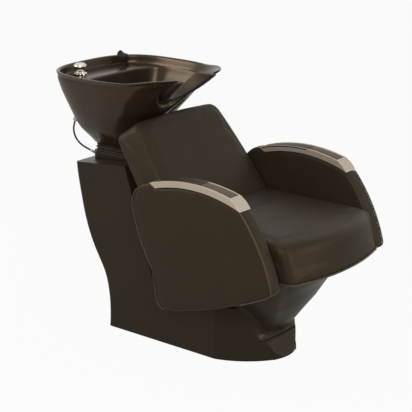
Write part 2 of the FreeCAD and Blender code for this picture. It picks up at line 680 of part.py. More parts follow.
ARM_STEPS = [("arm_crown", "arm_heel"), "cap_heel", ("shoulder", "arm_back"), ("arm_sweep", "arm_tuck"),
             "arm_hip", ("hip_via", "arm_foot"), "arm_sole", ("keel", "prow"), "prow_tip"]


def arm_body(name, wire, inner, outer, sign):
    """A slab drawn in side view between two distances from the middle."""
    body = new_body(name)
    side = new_sketch(body, name + "_side", "YZ_Plane", inner if sign > 0 else -outer)
    draw(side, wire)
    pad(body, name + "_slab", side, outer - inner)
    return body


def arm_wire():
    """The D-shaped side view, closed by the front's own arc."""
    edges = profile("arm_nose", ARM_STEPS).OrderedEdges[:-1]
    edges.append(Part.Arc(spot("prow_tip"), spot("arm_front"), spot("arm_nose")).toShape())
    return Part.Wire(edges)


def cap_wire(low_drop, front_y, rear_y):
    """The band on top of the arm, or the part of it that is deeper than a drop under its crown."""
    crown = Part.Arc(spot("cap_brow"), spot("cap_crown"), spot("cap_heel"))
    if not low_drop:
        under = Part.Arc(spot("arm_nose"), spot("arm_crown"), spot("arm_heel"))
        edges = [Part.LineSegment(spot("arm_nose"), spot("cap_chin")).toShape(),
                 Part.LineSegment(spot("cap_chin"), spot("cap_brow")).toShape(), crown.toShape(),
                 Part.LineSegment(spot("cap_heel"), spot("arm_heel")).toShape(), under.toShape()]
        return Part.Wire(Part.__sortEdges__(edges))
    lifted, lowered = [], []
    for along in (front_y, (front_y + rear_y) / 2, rear_y):
        line = Part.LineSegment(V(along, 0, 0), V(along, 1000, 0))
        height = max(point.Y for point in crown.intersect(line))
        lifted.append(V(along, height, 0))
        lowered.append(V(along, height - low_drop, 0))
    return Part.Wire([Part.Arc(*lifted).toShape(), Part.LineSegment(lifted[2], lowered[2]).toShape(),
                      Part.Arc(*reversed(lowered)).toShape(),
                      Part.LineSegment(lowered[0], lifted[0]).toShape()])


def make_arm(hand, sign):
    """One armrest: the upholstered side, its satin cap and the soft pad let into the cap."""
    slab = new_body(hand + "_arm_slab")
    layers = []
    for distance, drawn_in in ((D.arm_inner_x, 2), (D.arm_inner_x + 3, 0.05),
                               (D.arm_outer_x - D.arm_edge, 0.05), (D.arm_outer_x - 2, D.arm_edge / 3),
                               (D.arm_outer_x, D.arm_edge)):
        side = new_sketch(slab, "%s_arm_layer_%d" % (hand, len(layers)), "YZ_Plane", distance * sign)
        draw(side, arm_wire().makeOffset2D(-float(drawn_in), 2))
        layers.append(side)
    form = loft(slab, "AdditiveLoft", hand + "_arm_form", layers)
    form.Ruled = True
    low = D.rail_low_z + D.rail_height + D.tab_height - 12
    bores = [rod("%s_arm_bore_%s" % (hand, tag),
                 (sign * (D.arm_inner_x - 1) if sign > 0 else -D.arm_inner_x - 29,
                  along + D.flat_width / 2, low), 4.1, 30, ALONG_X)
             for tag, along in (("front", D.front_flat_y), ("rear", D.rear_flat_y))]
    cut(hand + "_arm_panel", slab, fuse(hand + "_arm_bores", bores))
    cap = arm_body(hand + "_cap_slab", cap_wire(0, 0, 0), D.arm_inner_x, D.arm_outer_x, sign)
    inner = D.arm_inner_x + D.pad_lip_in
    outer_lip = D.arm_outer_x - D.pad_lip_out
    deep = float(D.pad_depth)
    tools = []
    for tag, lift in (("recess", 0), ("clear", deep - 1)):
        tool = arm_body("%s_cap_%s" % (hand, tag),
                        cap_wire(deep, float(D.pad_front_y), float(D.pad_rear_y)), inner, outer_lip, sign)
        tool.Placement = FreeCAD.Placement(V(0, 0, lift), FreeCAD.Rotation())
        tools.append(tool)
    cut(hand + "_arm_trim", cap, fuse(hand + "_cap_hollow", tools))
    gap = D.pad_gap
    pad_piece = arm_body(hand + "_arm_pad",
                         cap_wire(deep - 0.3, float(D.pad_front_y + gap), float(D.pad_rear_y - gap)),
                         inner + gap, outer_lip - gap, sign)
    return pad_piece


def make_arm_bolts():
    """The two bolts through each arm's inner face into the crossbars' tabs."""
    bolts = []
    low = D.rail_low_z + D.rail_height + D.tab_height - 12
    for tag, along in (("front", D.front_flat_y), ("rear", D.rear_flat_y)):
        for hand, start in (("right", -D.arm_inner_x - 26), ("left", D.arm_inner_x - 4)):
            bolts.append(rod("arm_bolt_%s_%s" % (hand, tag), (start, along + D.flat_width / 2, low),
                             4, 30, ALONG_X))
    group("arm_bolts", bolts)


def rounded_tube(name, half, front, rear, low, high, corner, wall):
    """A rounded rectangular ring between two heights."""
    body = new_body(name)
    outline = new_sketch(body, name + "_outline", "XY_Plane", low)
    pillow(outline, quad(half, half, front, rear), corner, (1, 1, 1, 1))
    pad(body, name + "_block", outline, high - low)
    inside = new_sketch(body, name + "_inside", "XY_Plane", low)
    pillow(inside, quad(half - wall, half - wall, front + wall, rear - wall), corner - wall, (1, 1, 1, 1))
    pocket(body, name + "_bore", inside, (high - low) * 3)
    return body


def make_neck():
    """The rigid collar on the pillar's sloping top, and the rubber gaiter under the basin."""
    ring = rounded_tube("collar_ring", D.collar_half, D.collar_front_y, D.collar_rear_y,
                        D.pillar_rear_z - 10, D.collar_top_z, D.neck_corner, D.collar_wall)
    slope = math.degrees(math.atan2(D.pillar_front_z - D.pillar_rear_z,
                                    D.pillar_rear_y - D.pillar_front_y))
    under = doc.addObject("Part::Box", "collar_under")
    under.Length, under.Width, under.Height = 400, 400, 60
    lean = about(ACROSS, -slope)
    corner = V(-200, D.pillar_front_y, D.pillar_front_z + 0.1) + lean.multVec(V(0, -60, -60))
    under.Placement = FreeCAD.Placement(corner, lean)
    cut("neck_collar", ring, under)
    rings = []
    height = (D.gaiter_top_z - D.collar_top_z) / 3
    for fold in range(3):
        swell = 3 if fold == 1 else 0
        low = D.collar_top_z + height * fold
        rings.append(rounded_tube("gaiter_fold_%d" % fold, D.gaiter_half + swell,
                                  D.gaiter_front_y - swell, D.gaiter_rear_y + swell, low, low + height,
                                  D.neck_corner, D.gaiter_wall + swell))
    fuse("neck_gaiter", rings)


def make_pivot():
    """The yoke on the post, the pin, the friction discs and the carrier under the basin."""
    outer = D.cheek_inner_x + D.cheek_thick
    base_z = D.post_plate_z + D.plate_thick
    floor = box("yoke_floor", (-outer, D.pivot_y - D.yoke_front, base_z),
                (outer, D.pivot_y + D.cheek_half, base_z + D.yoke_thick))
    cheeks = [box("yoke_cheek_" + hand, (left, D.pivot_y - D.cheek_half, base_z),
                  (left + D.cheek_thick, D.pivot_y + D.cheek_half, D.cheek_top_z))
              for hand, left in (("right", -outer), ("left", D.cheek_inner_x))]
    bore = rod("yoke_bore", (-outer - 5, D.pivot_y, D.pivot_z), D.pivot_radius + D.pivot_fit,
               outer * 2 + 10, ALONG_X)
    holes, bolts = [], []
    for across in (-D.yoke_bolt_x, D.yoke_bolt_x):
        for along in (D.pivot_y - D.yoke_bolt_front, D.pivot_y + D.yoke_bolt_rear):
            tag = "%s_%d" % ("left" if across > 0 else "right", int(along > D.pivot_y))
            holes.append(rod("yoke_hole_" + tag, (across, along, base_z - 9), 4, 20))
            head = rod("yoke_bolt_head_" + tag, (across, along, base_z + D.yoke_thick), 6.5, 4)
            shank = rod("yoke_bolt_shank_" + tag, (across, along, base_z - 8), 3.95, 17)
            bolts.append(fuse("yoke_bolt_" + tag, [head, shank]))
    drill = fuse("yoke_holes", holes)
    cut("pivot_bracket", fuse("yoke_solid", [floor] + cheeks), fuse("yoke_voids", [bore, drill]))
    group("bracket_bolts", bolts)
    post = doc.getObject("frame_post")
    post.Label = "frame_post_blank"
    cut("frame_post_drilled", post, drill).Label = "frame_post"
    rod("pivot_pin", (-outer - 3, D.pivot_y, D.pivot_z), D.pivot_radius, outer * 2 + 6, ALONG_X)
    discs = []
    gap = D.cheek_inner_x - D.lug_thick - D.lug_inner_x
    for hand, start in (("right", -D.cheek_inner_x + 0.1), ("left", D.cheek_inner_x - gap - 0.1)):
        disc = rod("disc_blank_" + hand, (start, D.pivot_y, D.pivot_z), D.disc_radius - 6, gap, ALONG_X)
        hole = rod("disc_hole_" + hand, (start - 1, D.pivot_y, D.pivot_z),
                   D.pivot_radius + D.pivot_fit, gap + 2, ALONG_X)
        discs.append(cut("friction_disc_" + hand, disc, hole))
    group("friction_discs", discs)
    make_carrier(bore)


def carrier_bolt_spots():
    """Where the four bolts between carrier and basin stand, across and along."""
    return [(across, along) for across in (-D.carrier_bolt_x, D.carrier_bolt_x)
            for along in (D.carrier_front_y + D.carrier_bolt_inset,
                          D.carrier_rear_y - D.carrier_bolt_inset)]


def make_carrier(bore):
    """The plate under the basin with the two lugs that turn on the pivot pin, and its bolts."""
    plate = box("carrier_plate", (-D.carrier_half, D.carrier_front_y, D.carrier_z - D.carrier_thick),
                (D.carrier_half, D.carrier_rear_y, D.carrier_z))
    lugs = []
    for hand, start in (("right", -D.lug_inner_x - D.lug_thick + 0.3), ("left", D.lug_inner_x - 0.3)):
        web = box("lug_web_" + hand, (start, D.pivot_y - D.lug_radius, D.pivot_z),
                  (start + D.lug_thick, D.pivot_y + D.lug_radius, D.carrier_z - D.carrier_thick))
        eye = rod("lug_eye_" + hand, (start, D.pivot_y, D.pivot_z), D.lug_radius, D.lug_thick, ALONG_X)
        lugs += [web, eye]
    drain = rod("carrier_drain_hole", (0, D.drain_y, D.carrier_z - 20), D.drain_radius + 3, 40)
    bolts, holes = [], []
    for across, along in carrier_bolt_spots():
        tag = "%s_%d" % ("left" if across > 0 else "right", int(along > D.pivot_y))
        start = (across, along, D.carrier_z - D.carrier_thick - 4)
        holes.append(rod("carrier_hole_" + tag, start, 4.0, 4 + D.carrier_thick + 1))
        head = rod("carrier_bolt_head_" + tag, start, 6, 4)
        shank = rod("carrier_bolt_shank_" + tag, start, 3.95, 20)
        bolts.append(fuse("carrier_bolt_" + tag, [head, shank]))
    cut("bowl_carrier", fuse("carrier_solid", [plate] + lugs), fuse("carrier_voids", [bore, drain] + holes))
    group("carrier_bolts", bolts)


# Basin outlines from the foot up: height, half width, front, rear, corner reach, front bulge, side bulge
BASIN_LAYERS = ((648, 108, 272, 480, 52, 4, 4), (668, 126, 276, 490, 66, 6, 6),
                (710, 166, 280, 526, 96, 6, 8), (757, 186, 246, 546, 112, 2, 9),
                (805, 200, 204, 562, 108, -14, 9), (845, 212, 172, 574, 106, -30, 10),
                (885, 223, 130, 584, 120, -52, 11), (915, 230, 74, 590, 138, -78, 11))


def basin_layers(inset, low_z, high_z, rear_limit=None):
    """The basin's outlines between two heights, drawn in by an inset."""
    rows = [layer for layer in BASIN_LAYERS if low_z < layer[0] < high_z]
    for level in (low_z, high_z):
        rows.append(blend_layer(level))
    layers = []
    for height, half, front, rear, reach, front_bulge, side_bulge in sorted(rows):
        back = rear - inset if rear_limit is None else min(rear - inset, rear_limit)
        corner = max(reach - inset, 20)
        layers.append((height, quad(half - inset, half - inset, front + inset, back), corner,
                       (front_bulge, side_bulge, 9, side_bulge)))
    return layers


def blend_layer(level):
    """An outline at any height, worked out between its two neighbours."""
    below = max((layer for layer in BASIN_LAYERS if layer[0] <= level), default=BASIN_LAYERS[0])
    above = min((layer for layer in BASIN_LAYERS if layer[0] >= level), default=BASIN_LAYERS[-1])
    span = above[0] - below[0]
    share = (level - below[0]) / span if span else 0
    return (float(level),) + tuple(a + (b - a) * share for a, b in zip(below[1:], above[1:]))


def make_basin():
    """The glazed bowl with its rear deck, neck notch and drain, and what is fixed to it."""
    outside = pillow_body("basin_outside", basin_layers(0, float(D.basin_low_z), float(D.basin_rim_z)))
    wall = float(D.basin_wall)
    well = pillow_body("basin_well", basin_layers(wall, float(D.bowl_floor_z), float(D.deck_z),
                                                  float(D.deck_front_y)))
    deck = pillow_body("basin_deck", basin_layers(wall, float(D.deck_z), float(D.basin_rim_z + 3)))
    notch = neck_band("basin_notch", D.notch_half, D.notch_depth, D.notch_rear_y)
    drain = rod("basin_drain", (0, D.drain_y, D.basin_low_z - 20), D.drain_radius + 0.2, 60)
    seat = rod("basin_drain_seat", (0, D.drain_y, D.bowl_floor_z - D.flange_thick),
               D.flange_radius + 0.2, 10)
    holder = rod("basin_holder_hole", (D.handset_x, D.handset_y, D.deck_z - 60), D.holder_radius + 0.1, 80)
    inlet = rod("basin_mixer_hole", (D.mixer_x, D.mixer_y, D.deck_z - 14), D.mixer_shank + 0.1, 30)
    exit_line = FreeCAD.Rotation(V(0, 0, 1), V(*HOSE_POINTS[0]) - V(*HOSE_POINTS[1]))
    gland = rod("basin_gland_hole", V(*HOSE_POINTS[0]), D.gland_radius + 0.1, 26, exit_line)
    fixings = [rod("basin_fixing_%d" % index, (across, along, D.basin_low_z - 8), 4.0, 16)
               for index, (across, along) in enumerate(carrier_bolt_spots())]
    holes = fuse("basin_holes", [drain, seat, holder, inlet, gland] + fixings)
    shelved = cut("basin_shelved", outside, deck)
    emptied = cut("basin_emptied", shelved, well)
    notched = cut("basin_notched", emptied, notch)
    cut("basin_bowl", notched, holes)
    pad_ring = cut("neck_rest_ring",
                   neck_band("neck_rest_outer", D.notch_half - 0.2, D.notch_depth - 0.2, D.notch_rear_y),
                   neck_band("neck_rest_inner", D.notch_half - D.rest_arm_thick,
                             D.notch_depth - D.rest_thick, D.notch_rear_y + 10, D.notch_front_y - 10))
    slab = doc.addObject("Part::Box", "neck_rest_slab")
    bind(slab, "Height", D.rest_width)
    slab.Length, slab.Width = 2 * D.notch_half + 20, 240
    lean = about(ACROSS, -D.rest_slope)
    low = V(-D.notch_half - 10, D.rest_y, D.rest_z)
    slab.Placement = FreeCAD.Placement(low + lean.multVec(V(0, -200, -D.rest_width / 2)), lean)
    trimmed = common("neck_rest_trimmed", pad_ring, slab)
    above = box("neck_rest_above", (-150, 0, D.basin_rim_z - 1), (150, 300, D.basin_rim_z + 60))
    cut("neck_rest", trimmed, above)


def neck_band(name, half, depth, rear, front=None):
    """A U-shaped tool across the basin's front wall: half an ellipse with straight sides above."""
    start = D.notch_front_y if front is None else front
    body = new_body(name)
    face = new_sketch(body, name + "_face", "XZ_Plane", -rear)
    top = float(D.notch_top_z)
    wide, deep = float(half), float(depth)
    hip = wide * math.sqrt(0.5)
    drop = deep * math.sqrt(0.5)
    points = [V(-wide, top, 0), V(-wide * 0.924, top - deep * 0.383, 0), V(-hip, top - drop, 0),
              V(0, top - deep, 0), V(hip, top - drop, 0), V(wide * 0.924, top - deep * 0.383, 0),
              V(wide, top, 0)]
    for first in (0, 2, 4):
        face.addGeometry(Part.Arc(points[first], points[first + 1], points[first + 2]), False)
    high = top + 60
    rim = [points[6], V(wide, high, 0), V(-wide, high, 0), points[0]]
    for near, far in zip(rim, rim[1:]):
        face.addGeometry(Part.LineSegment(near, far), False)
    pad(body, name + "_run", face, rear - start)
    return body


def make_waste():
    """Drain flange with its tail, the lift-out strainer, flexible hose, bottle trap and pipe."""
    flange = rod("waste_flange", (0, D.drain_y, D.bowl_floor_z - D.flange_thick),
                 D.flange_radius, D.flange_thick)
    tail = rod("waste_tail", (0, D.drain_y, D.pivot_z), D.drain_radius, D.bowl_floor_z - D.pivot_z)
    bore = rod("waste_bore", (0, D.drain_y, D.pivot_z - 5), D.drain_radius - 3, 100)
    rebate = rod("waste_rebate", (0, D.drain_y, D.bowl_floor_z - 1), D.flange_radius - 10, 10)
    cut("waste_fitting", fuse("waste_fitting_solid", [flange, tail]), fuse("waste_voids", [bore, rebate]))
    disc = rod("strainer_disc", (0, D.drain_y, D.bowl_floor_z - 0.7), D.flange_radius - 10.5, 1.2)
    cup = rod("strainer_cup", (0, D.drain_y, D.bowl_floor_z - 12), D.drain_radius - 4, 12)
    knob = rod("strainer_knob", (0, D.drain_y, D.bowl_floor_z), 4, 9)
    slots = [rod("strainer_slot_%d" % turn,
                 (math.cos(turn * math.pi / 4) * 10, D.drain_y + math.sin(turn * math.pi / 4) * 10,
                  D.bowl_floor_z - 20), 2.4, 30)
             for turn in range(8)]
    cut("hair_strainer", fuse("strainer_solid", [disc, cup, knob]), fuse("strainer_slots", slots))
    low = D.trap_top_z
    sleeve = rod("waste_hose_outer", (0, D.trap_y, low), 15, D.pivot_z - low)
    hole = rod("waste_hose_bore", (0, D.trap_y, low - 1), 13, 200)
    cut("waste_hose", sleeve, hole)
    cup = rod("trap_cup", (0, D.trap_y, D.trap_low_z), D.trap_radius, D.trap_top_z - D.trap_low_z)
    hollow = rod("trap_hollow", (0, D.trap_y, D.trap_low_z + 4), D.trap_radius - 4,
                 D.trap_top_z - D.trap_low_z - 10)
    inlet = rod("trap_inlet", (0, D.trap_y, D.trap_top_z - 20), 12, 30)
    cut("waste_trap", cup, fuse("trap_voids", [hollow, inlet]))
    start = V(0, D.trap_y, D.trap_low_z + 22)
    end = V(D.pipe_x, D.pipe_y, D.trap_low_z + 22)
    run = end - start
    begin = start + run * ((D.trap_radius + 0.2) / run.Length)
    turn = FreeCAD.Rotation(V(0, 0, 1), run)
    length = (end - begin).Length
    across = rod("pipe_run", begin, D.pipe_radius - 4, length, turn)
    down = rod("pipe_drop", (D.pipe_x, D.pipe_y, 0), D.pipe_radius, D.trap_low_z + 34)
    inner = rod("pipe_inner", (D.pipe_x, D.pipe_y, -1), D.pipe_radius - 3, D.trap_low_z + 30)
    run_bore = rod("pipe_run_bore", begin - run * 0.1, D.pipe_radius - 7, length + run.Length * 0.1, turn)
    cut("waste_pipe", fuse("pipe_solid", [across, down]), fuse("pipe_voids", [inner, run_bore]))


def make_supplies():
    """Two stop valves on short risers behind the access cover."""
    valves = []
    for index, across in enumerate(VALVES_X):
        riser = rod("riser_%d" % index, (across, D.pipe_y, 0), 7.5, 96)
        barrel = rod("valve_barrel_%d" % index, (across, D.pipe_y, 80), 12, 34)
        stem = rod("valve_stem_%d" % index, (across, D.pipe_y, 97), 4, 26, ALONG_Y)
        knob = rod("valve_knob_%d" % index, (across, D.pipe_y + 22, 97), 11, 10, ALONG_Y)
        valves.append(fuse("stop_valve_%d" % index, [riser, barrel, stem, knob]))
    group("stop_valves", valves)


def turned(name, at, points):
    """A turned piece: a half section of straight runs revolved about an upright axis."""
    body = new_body(name)
    half = new_sketch(body, name + "_section", "XZ_Plane")
    corners = [V(radius, height, 0) for radius, height in points]
    for near, far in zip(corners, corners[1:] + corners[:1]):
        half.addGeometry(Part.LineSegment(near, far), False)
    spin = body.newObject("PartDesign::Revolution", name + "_turning")
    spin.Profile = half
    spin.ReferenceAxis = (half, ["V_Axis"])
    spin.Angle = 360
    place(body, at)
    return body


# Turned half sections, radius and height: the mixer's knob, and the hand shower's grip and head
KNOB_SECTION = ((0, 0), (14, 0), (19, 9), (23.5, 17), (22, 22), (15, 26.5), (0, 28))
GRIP_SECTION = ((0, 0), (13, 0), (13, 26), (15.5, 36), (16.5, 46), (15, 55), (0, 55))


def make_mixer():
    """The mixer's housing, the turret that turns in it and the lever pinned to the turret."""
    x, y, z = D.mixer_x, D.mixer_y, D.deck_z
    flange = rod("mixer_flange", (x, y, z + 0.1), D.mixer_radius, D.mixer_body_height)
    shank = rod("mixer_shank", (x, y, z - 14), D.mixer_shank, 16)
    well = rod("mixer_well", (x, y, z + 3), D.turret_radius + D.turret_fit, D.mixer_body_height + 5)
    cut("mixer_body", fuse("mixer_housing", [flange, shank]), well)
    drum = rod("turret_drum", (x, y, z + 3.1), D.turret_radius, D.turret_top_z - z - 3.1)
    tongue = box("turret_tongue", (x - D.tongue_half, y - 6, D.turret_top_z - 1),
                 (x + D.tongue_half, y + 6, D.lever_pin_z + 4.5))
    eye = rod("turret_eye", (x - 10, y, D.lever_pin_z), 2.05, 20, ALONG_X)
    cut("mixer_turret", fuse("turret_solid", [drum, tongue]), eye)
    knob = turned("lever_knob", (x, y, D.lever_low_z), KNOB_SECTION)
    slot = box("lever_slot", (x - D.tongue_half - D.slot_gap, y - 9, D.lever_low_z - 2),
               (x + D.tongue_half + D.slot_gap, y + 9, D.lever_pin_z + 9))
    bore = rod("lever_bore", (x - 12, y, D.lever_pin_z), 2.0, 24, ALONG_X)
    cut("mixer_lever", knob, fuse("lever_voids", [slot, bore]))
    rod("mixer_pin", (x - 11.9, y, D.lever_pin_z), 1.99, 23.8, ALONG_X)


def make_handset():
    """The sleeve in the deck and the hand shower that lifts out of it."""
    x, y, z = D.handset_x, D.handset_y, D.deck_z
    sleeve = rod("holder_sleeve", (x, y, z - 14), D.holder_radius, 24)
    flange = rod("holder_flange", (x, y, z + 0.1), D.holder_radius + 4, 3)
    bore = rod("holder_bore", (x, y, z - 20), D.handset_radius + 0.3, 60)
    cut("handset_holder", fuse("holder_solid", [sleeve, flange]), bore)
    grip = turned("handset_grip", (x, y, z - 12), GRIP_SECTION)
    face = rod("handset_face", (x, y, z + 34), 11, 24, about(ACROSS, -62))
    fuse("spray_handset", [grip, face])


# Slack of the hand shower's hose: from the gland under the bowl down and in to the collar
HOSE_POINTS = ((-150, 506, 731), (-153, 511, 712), (-153, 512, 691), (-150, 508, 671),
               (-142, 500, 651), (-129, 486, 633), (-113, 470, 620))


def hose_path(points):
    """Straight runs joined by tangent arcs, each arc as large as its two runs allow."""
    corners = [V(*point) for point in points]
    edges = []
    here = corners[0]
    radii = []
    for index in range(1, len(corners) - 1):
        before = corners[index - 1] - corners[index]
        after = corners[index + 1] - corners[index]
        reach = 0.45 * min(before.Length, after.Length)
        turn = math.pi - before.getAngle(after)
        radius = reach / math.tan(turn / 2)
        radii.append(radius)
        start = corners[index] + before.normalize() * reach
        end = corners[index] + after.normalize() * reach
        bisector = (before + after).normalize()
        centre = corners[index] + bisector * math.hypot(reach, radius)
        middle = centre - bisector * radius
        edges.append(Part.LineSegment(here, start).toShape())
        edges.append(Part.Arc(start, middle, end).toShape())
        here = end
    edges.append(Part.LineSegment(here, corners[-1]).toShape())
    return Part.Wire(edges), radii


def make_spray_hose():
    """The free hose between the gland and the fitting, and those two end pieces."""
    wire, radii = hose_path(HOSE_POINTS)
    radius = float(D.hose_diameter) / 2
    first = wire.OrderedEdges[0]
    start = first.valueAt(first.FirstParameter)
    ring = Part.Wire(Part.Circle(start, first.tangentAt(first.FirstParameter), radius).toShape())
    hose = doc.addObject("Part::Feature", "spray_hose")
    hose.Shape = wire.makePipeShell([ring], True, False)
    expected = math.pi * radius ** 2 * wire.Length
    print("hose radii", [round(r, 1) for r in radii], "length", round(wire.Length, 1),
          "volume ratio", round(hose.Shape.Volume / expected, 4))
    rise = V(*HOSE_POINTS[0]) - V(*HOSE_POINTS[1])
    rod("hose_gland", V(*HOSE_POINTS[0]), D.gland_radius, 24, FreeCAD.Rotation(V(0, 0, 1), rise))
    into = V(*HOSE_POINTS[-1]) - V(*HOSE_POINTS[-2])
    fitting = rod("fitting_blank", V(*HOSE_POINTS[-1]), 4.2, 22, FreeCAD.Rotation(V(0, 0, 1), into))
    cut("hose_fitting", fitting, doc.getObject("neck_collar"))


make_base_shell()
make_access_cover()
make_base_plate()
make_frame()
make_backrest()
make_seat()
make_belly()
make_arm("right", -1)
make_arm("left", 1)
make_arm_bolts()
make_neck()
make_pivot()
make_basin()
make_waste()
make_supplies()
make_mixer()
make_handset()
make_spray_hose()
doc.recompute()

NODES = ["base_shell", "base_plate", "frame_post", "seat_column", "seat_rails", "arm_crossbars",
         "rear_access_cover", "cover_screws", "belly_shell", "seat_board", "seat_cushion",
         "backrest_board", "backrest_cushion", "backrest_bracket", "backrest_bolts",
         "left_arm_panel", "right_arm_panel", "left_arm_trim", "right_arm_trim", "left_arm_pad",
         "right_arm_pad", "arm_bolts", "pivot_bracket", "bracket_bolts", "pivot_pin",
         "friction_discs", "neck_collar", "neck_gaiter", "waste_trap", "waste_hose", "waste_pipe",
         "stop_valves", "hose_fitting", "basin_bowl", "neck_rest", "bowl_carrier", "carrier_bolts",
         "waste_fitting", "handset_holder", "hose_gland", "mixer_body", "mixer_turret",
         "mixer_lever", "mixer_pin", "hair_strainer", "spray_handset", "spray_hose"]

faults = [obj.Name for obj in doc.Objects if "Invalid" in obj.State or "Error" in obj.State]
if faults:
    raise RuntimeError("failed objects: %s" % faults)
os.makedirs("parts", exist_ok=True)
for node in NODES:
    shape = doc.getObjectsByLabel(node)[0].Shape
    if shape.isNull() or not shape.isValid() or shape.Volume <= 0:
        raise RuntimeError("%s has no sound shape" % node)
    shape.exportStep("parts/%s.step" % node)
    extent = shape.optimalBoundingBox()
    print(node, [round(c, 1) for c in (extent.XMin, extent.XMax, extent.YMin, extent.YMax,
                                       extent.ZMin, extent.ZMax)],
          len(shape.Solids), round(shape.Volume / 1000, 1))
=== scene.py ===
"""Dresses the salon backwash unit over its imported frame: padding, glaze, trim, fittings and studio.

Every piece is in metres in the frame's own axes: X runs across the chair, the sitter faces -Y,
Z is up and the floor is Z 0. Sizes in the classes are millimetres.
"""
from __future__ import annotations

import json
import logging
import math
from dataclasses import dataclass
from enum import Enum
from typing import Callable, Iterable, Sequence

import bpy
import numpy as np
from mathutils import Matrix, Vector

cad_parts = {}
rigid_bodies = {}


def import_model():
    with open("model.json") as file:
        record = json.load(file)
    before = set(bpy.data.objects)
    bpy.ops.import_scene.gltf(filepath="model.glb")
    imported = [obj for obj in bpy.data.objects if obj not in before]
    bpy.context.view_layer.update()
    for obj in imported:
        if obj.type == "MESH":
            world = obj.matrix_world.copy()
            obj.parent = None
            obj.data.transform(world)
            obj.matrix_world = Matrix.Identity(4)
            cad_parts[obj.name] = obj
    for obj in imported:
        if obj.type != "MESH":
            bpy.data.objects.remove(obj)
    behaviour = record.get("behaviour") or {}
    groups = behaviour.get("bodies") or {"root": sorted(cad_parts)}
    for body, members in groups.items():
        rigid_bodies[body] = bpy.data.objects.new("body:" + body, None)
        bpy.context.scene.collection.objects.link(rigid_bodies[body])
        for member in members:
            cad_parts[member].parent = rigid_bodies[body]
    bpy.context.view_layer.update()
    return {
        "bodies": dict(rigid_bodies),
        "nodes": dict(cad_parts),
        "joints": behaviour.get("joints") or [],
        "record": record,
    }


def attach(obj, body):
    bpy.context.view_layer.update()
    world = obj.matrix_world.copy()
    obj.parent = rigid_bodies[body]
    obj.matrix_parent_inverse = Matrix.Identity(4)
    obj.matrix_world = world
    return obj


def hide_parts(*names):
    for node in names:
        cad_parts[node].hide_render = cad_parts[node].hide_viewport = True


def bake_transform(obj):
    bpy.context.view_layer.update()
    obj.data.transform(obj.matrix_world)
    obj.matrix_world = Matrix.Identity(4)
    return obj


LOG = logging.getLogger("backwash_unit")
MM = 0.001
Layer = tuple[float, np.ndarray]


# Colour and node helpers

def linear(code: str) -> tuple[float, float, float, float]:
    """Turns an sRGB hex value into the linear colour that a shader socket takes.

    Args:
        code: six hex digits after a hash.

    Returns:
        Linear red, green and blue with an alpha of 1.
    """
    parts = [int(code[start:start + 2], 16) / 255 for start in (1, 3, 5)]
    bent = [c / 12.92 if c <= 0.04045 else ((c + 0.055) / 1.055) ** 2.4 for c in parts]
    return (bent[0], bent[1], bent[2], 1.0)


def add_node(tree: bpy.types.NodeTree, kind: str, settings: dict | None = None,
             links: dict | None = None) -> bpy.types.Node:
    """Adds a node with its settings and links.

    Args:
        tree: the node tree that gets the node.
        kind: the node's Blender type.
        settings: values by input name or number, or by the name of a node property.
        links: output sockets by the input name or number that they feed.

    Returns:
        The new node.
    """
    node = tree.nodes.new(kind)
    for key, value in (settings or {}).items():
        if isinstance(key, int) or key in node.inputs:
            node.inputs[key].default_value = value
        else:
            setattr(node, key, value)
    for key, source in (links or {}).items():
        tree.links.new(source, node.inputs[key])
    return node


def per_metre(size_mm: float) -> float:
    """Gives a texture scale whose features are about one real size apart."""
    return 1000.0 / size_mm


def add_noise(tree: bpy.types.NodeTree, where: bpy.types.NodeSocket, size_mm: float, detail: float,
              roughness: float) -> bpy.types.NodeSocket:
    """Adds noise with features of a real size.

    Args:
        tree: the node tree that gets the noise.
        where: coordinates in metres.
        size_mm: about how far apart the features are.
        detail: how many finer layers lie over them.
        roughness: how strong the finer layers are.

    Returns:
        A socket with heights between 0 and 1.
    """
    noise = add_node(tree, "ShaderNodeTexNoise",
                     {"Scale": per_metre(size_mm), "Detail": detail, "Roughness": roughness},
                     {"Vector": where})
    return noise.outputs["Fac"]


# Finishes

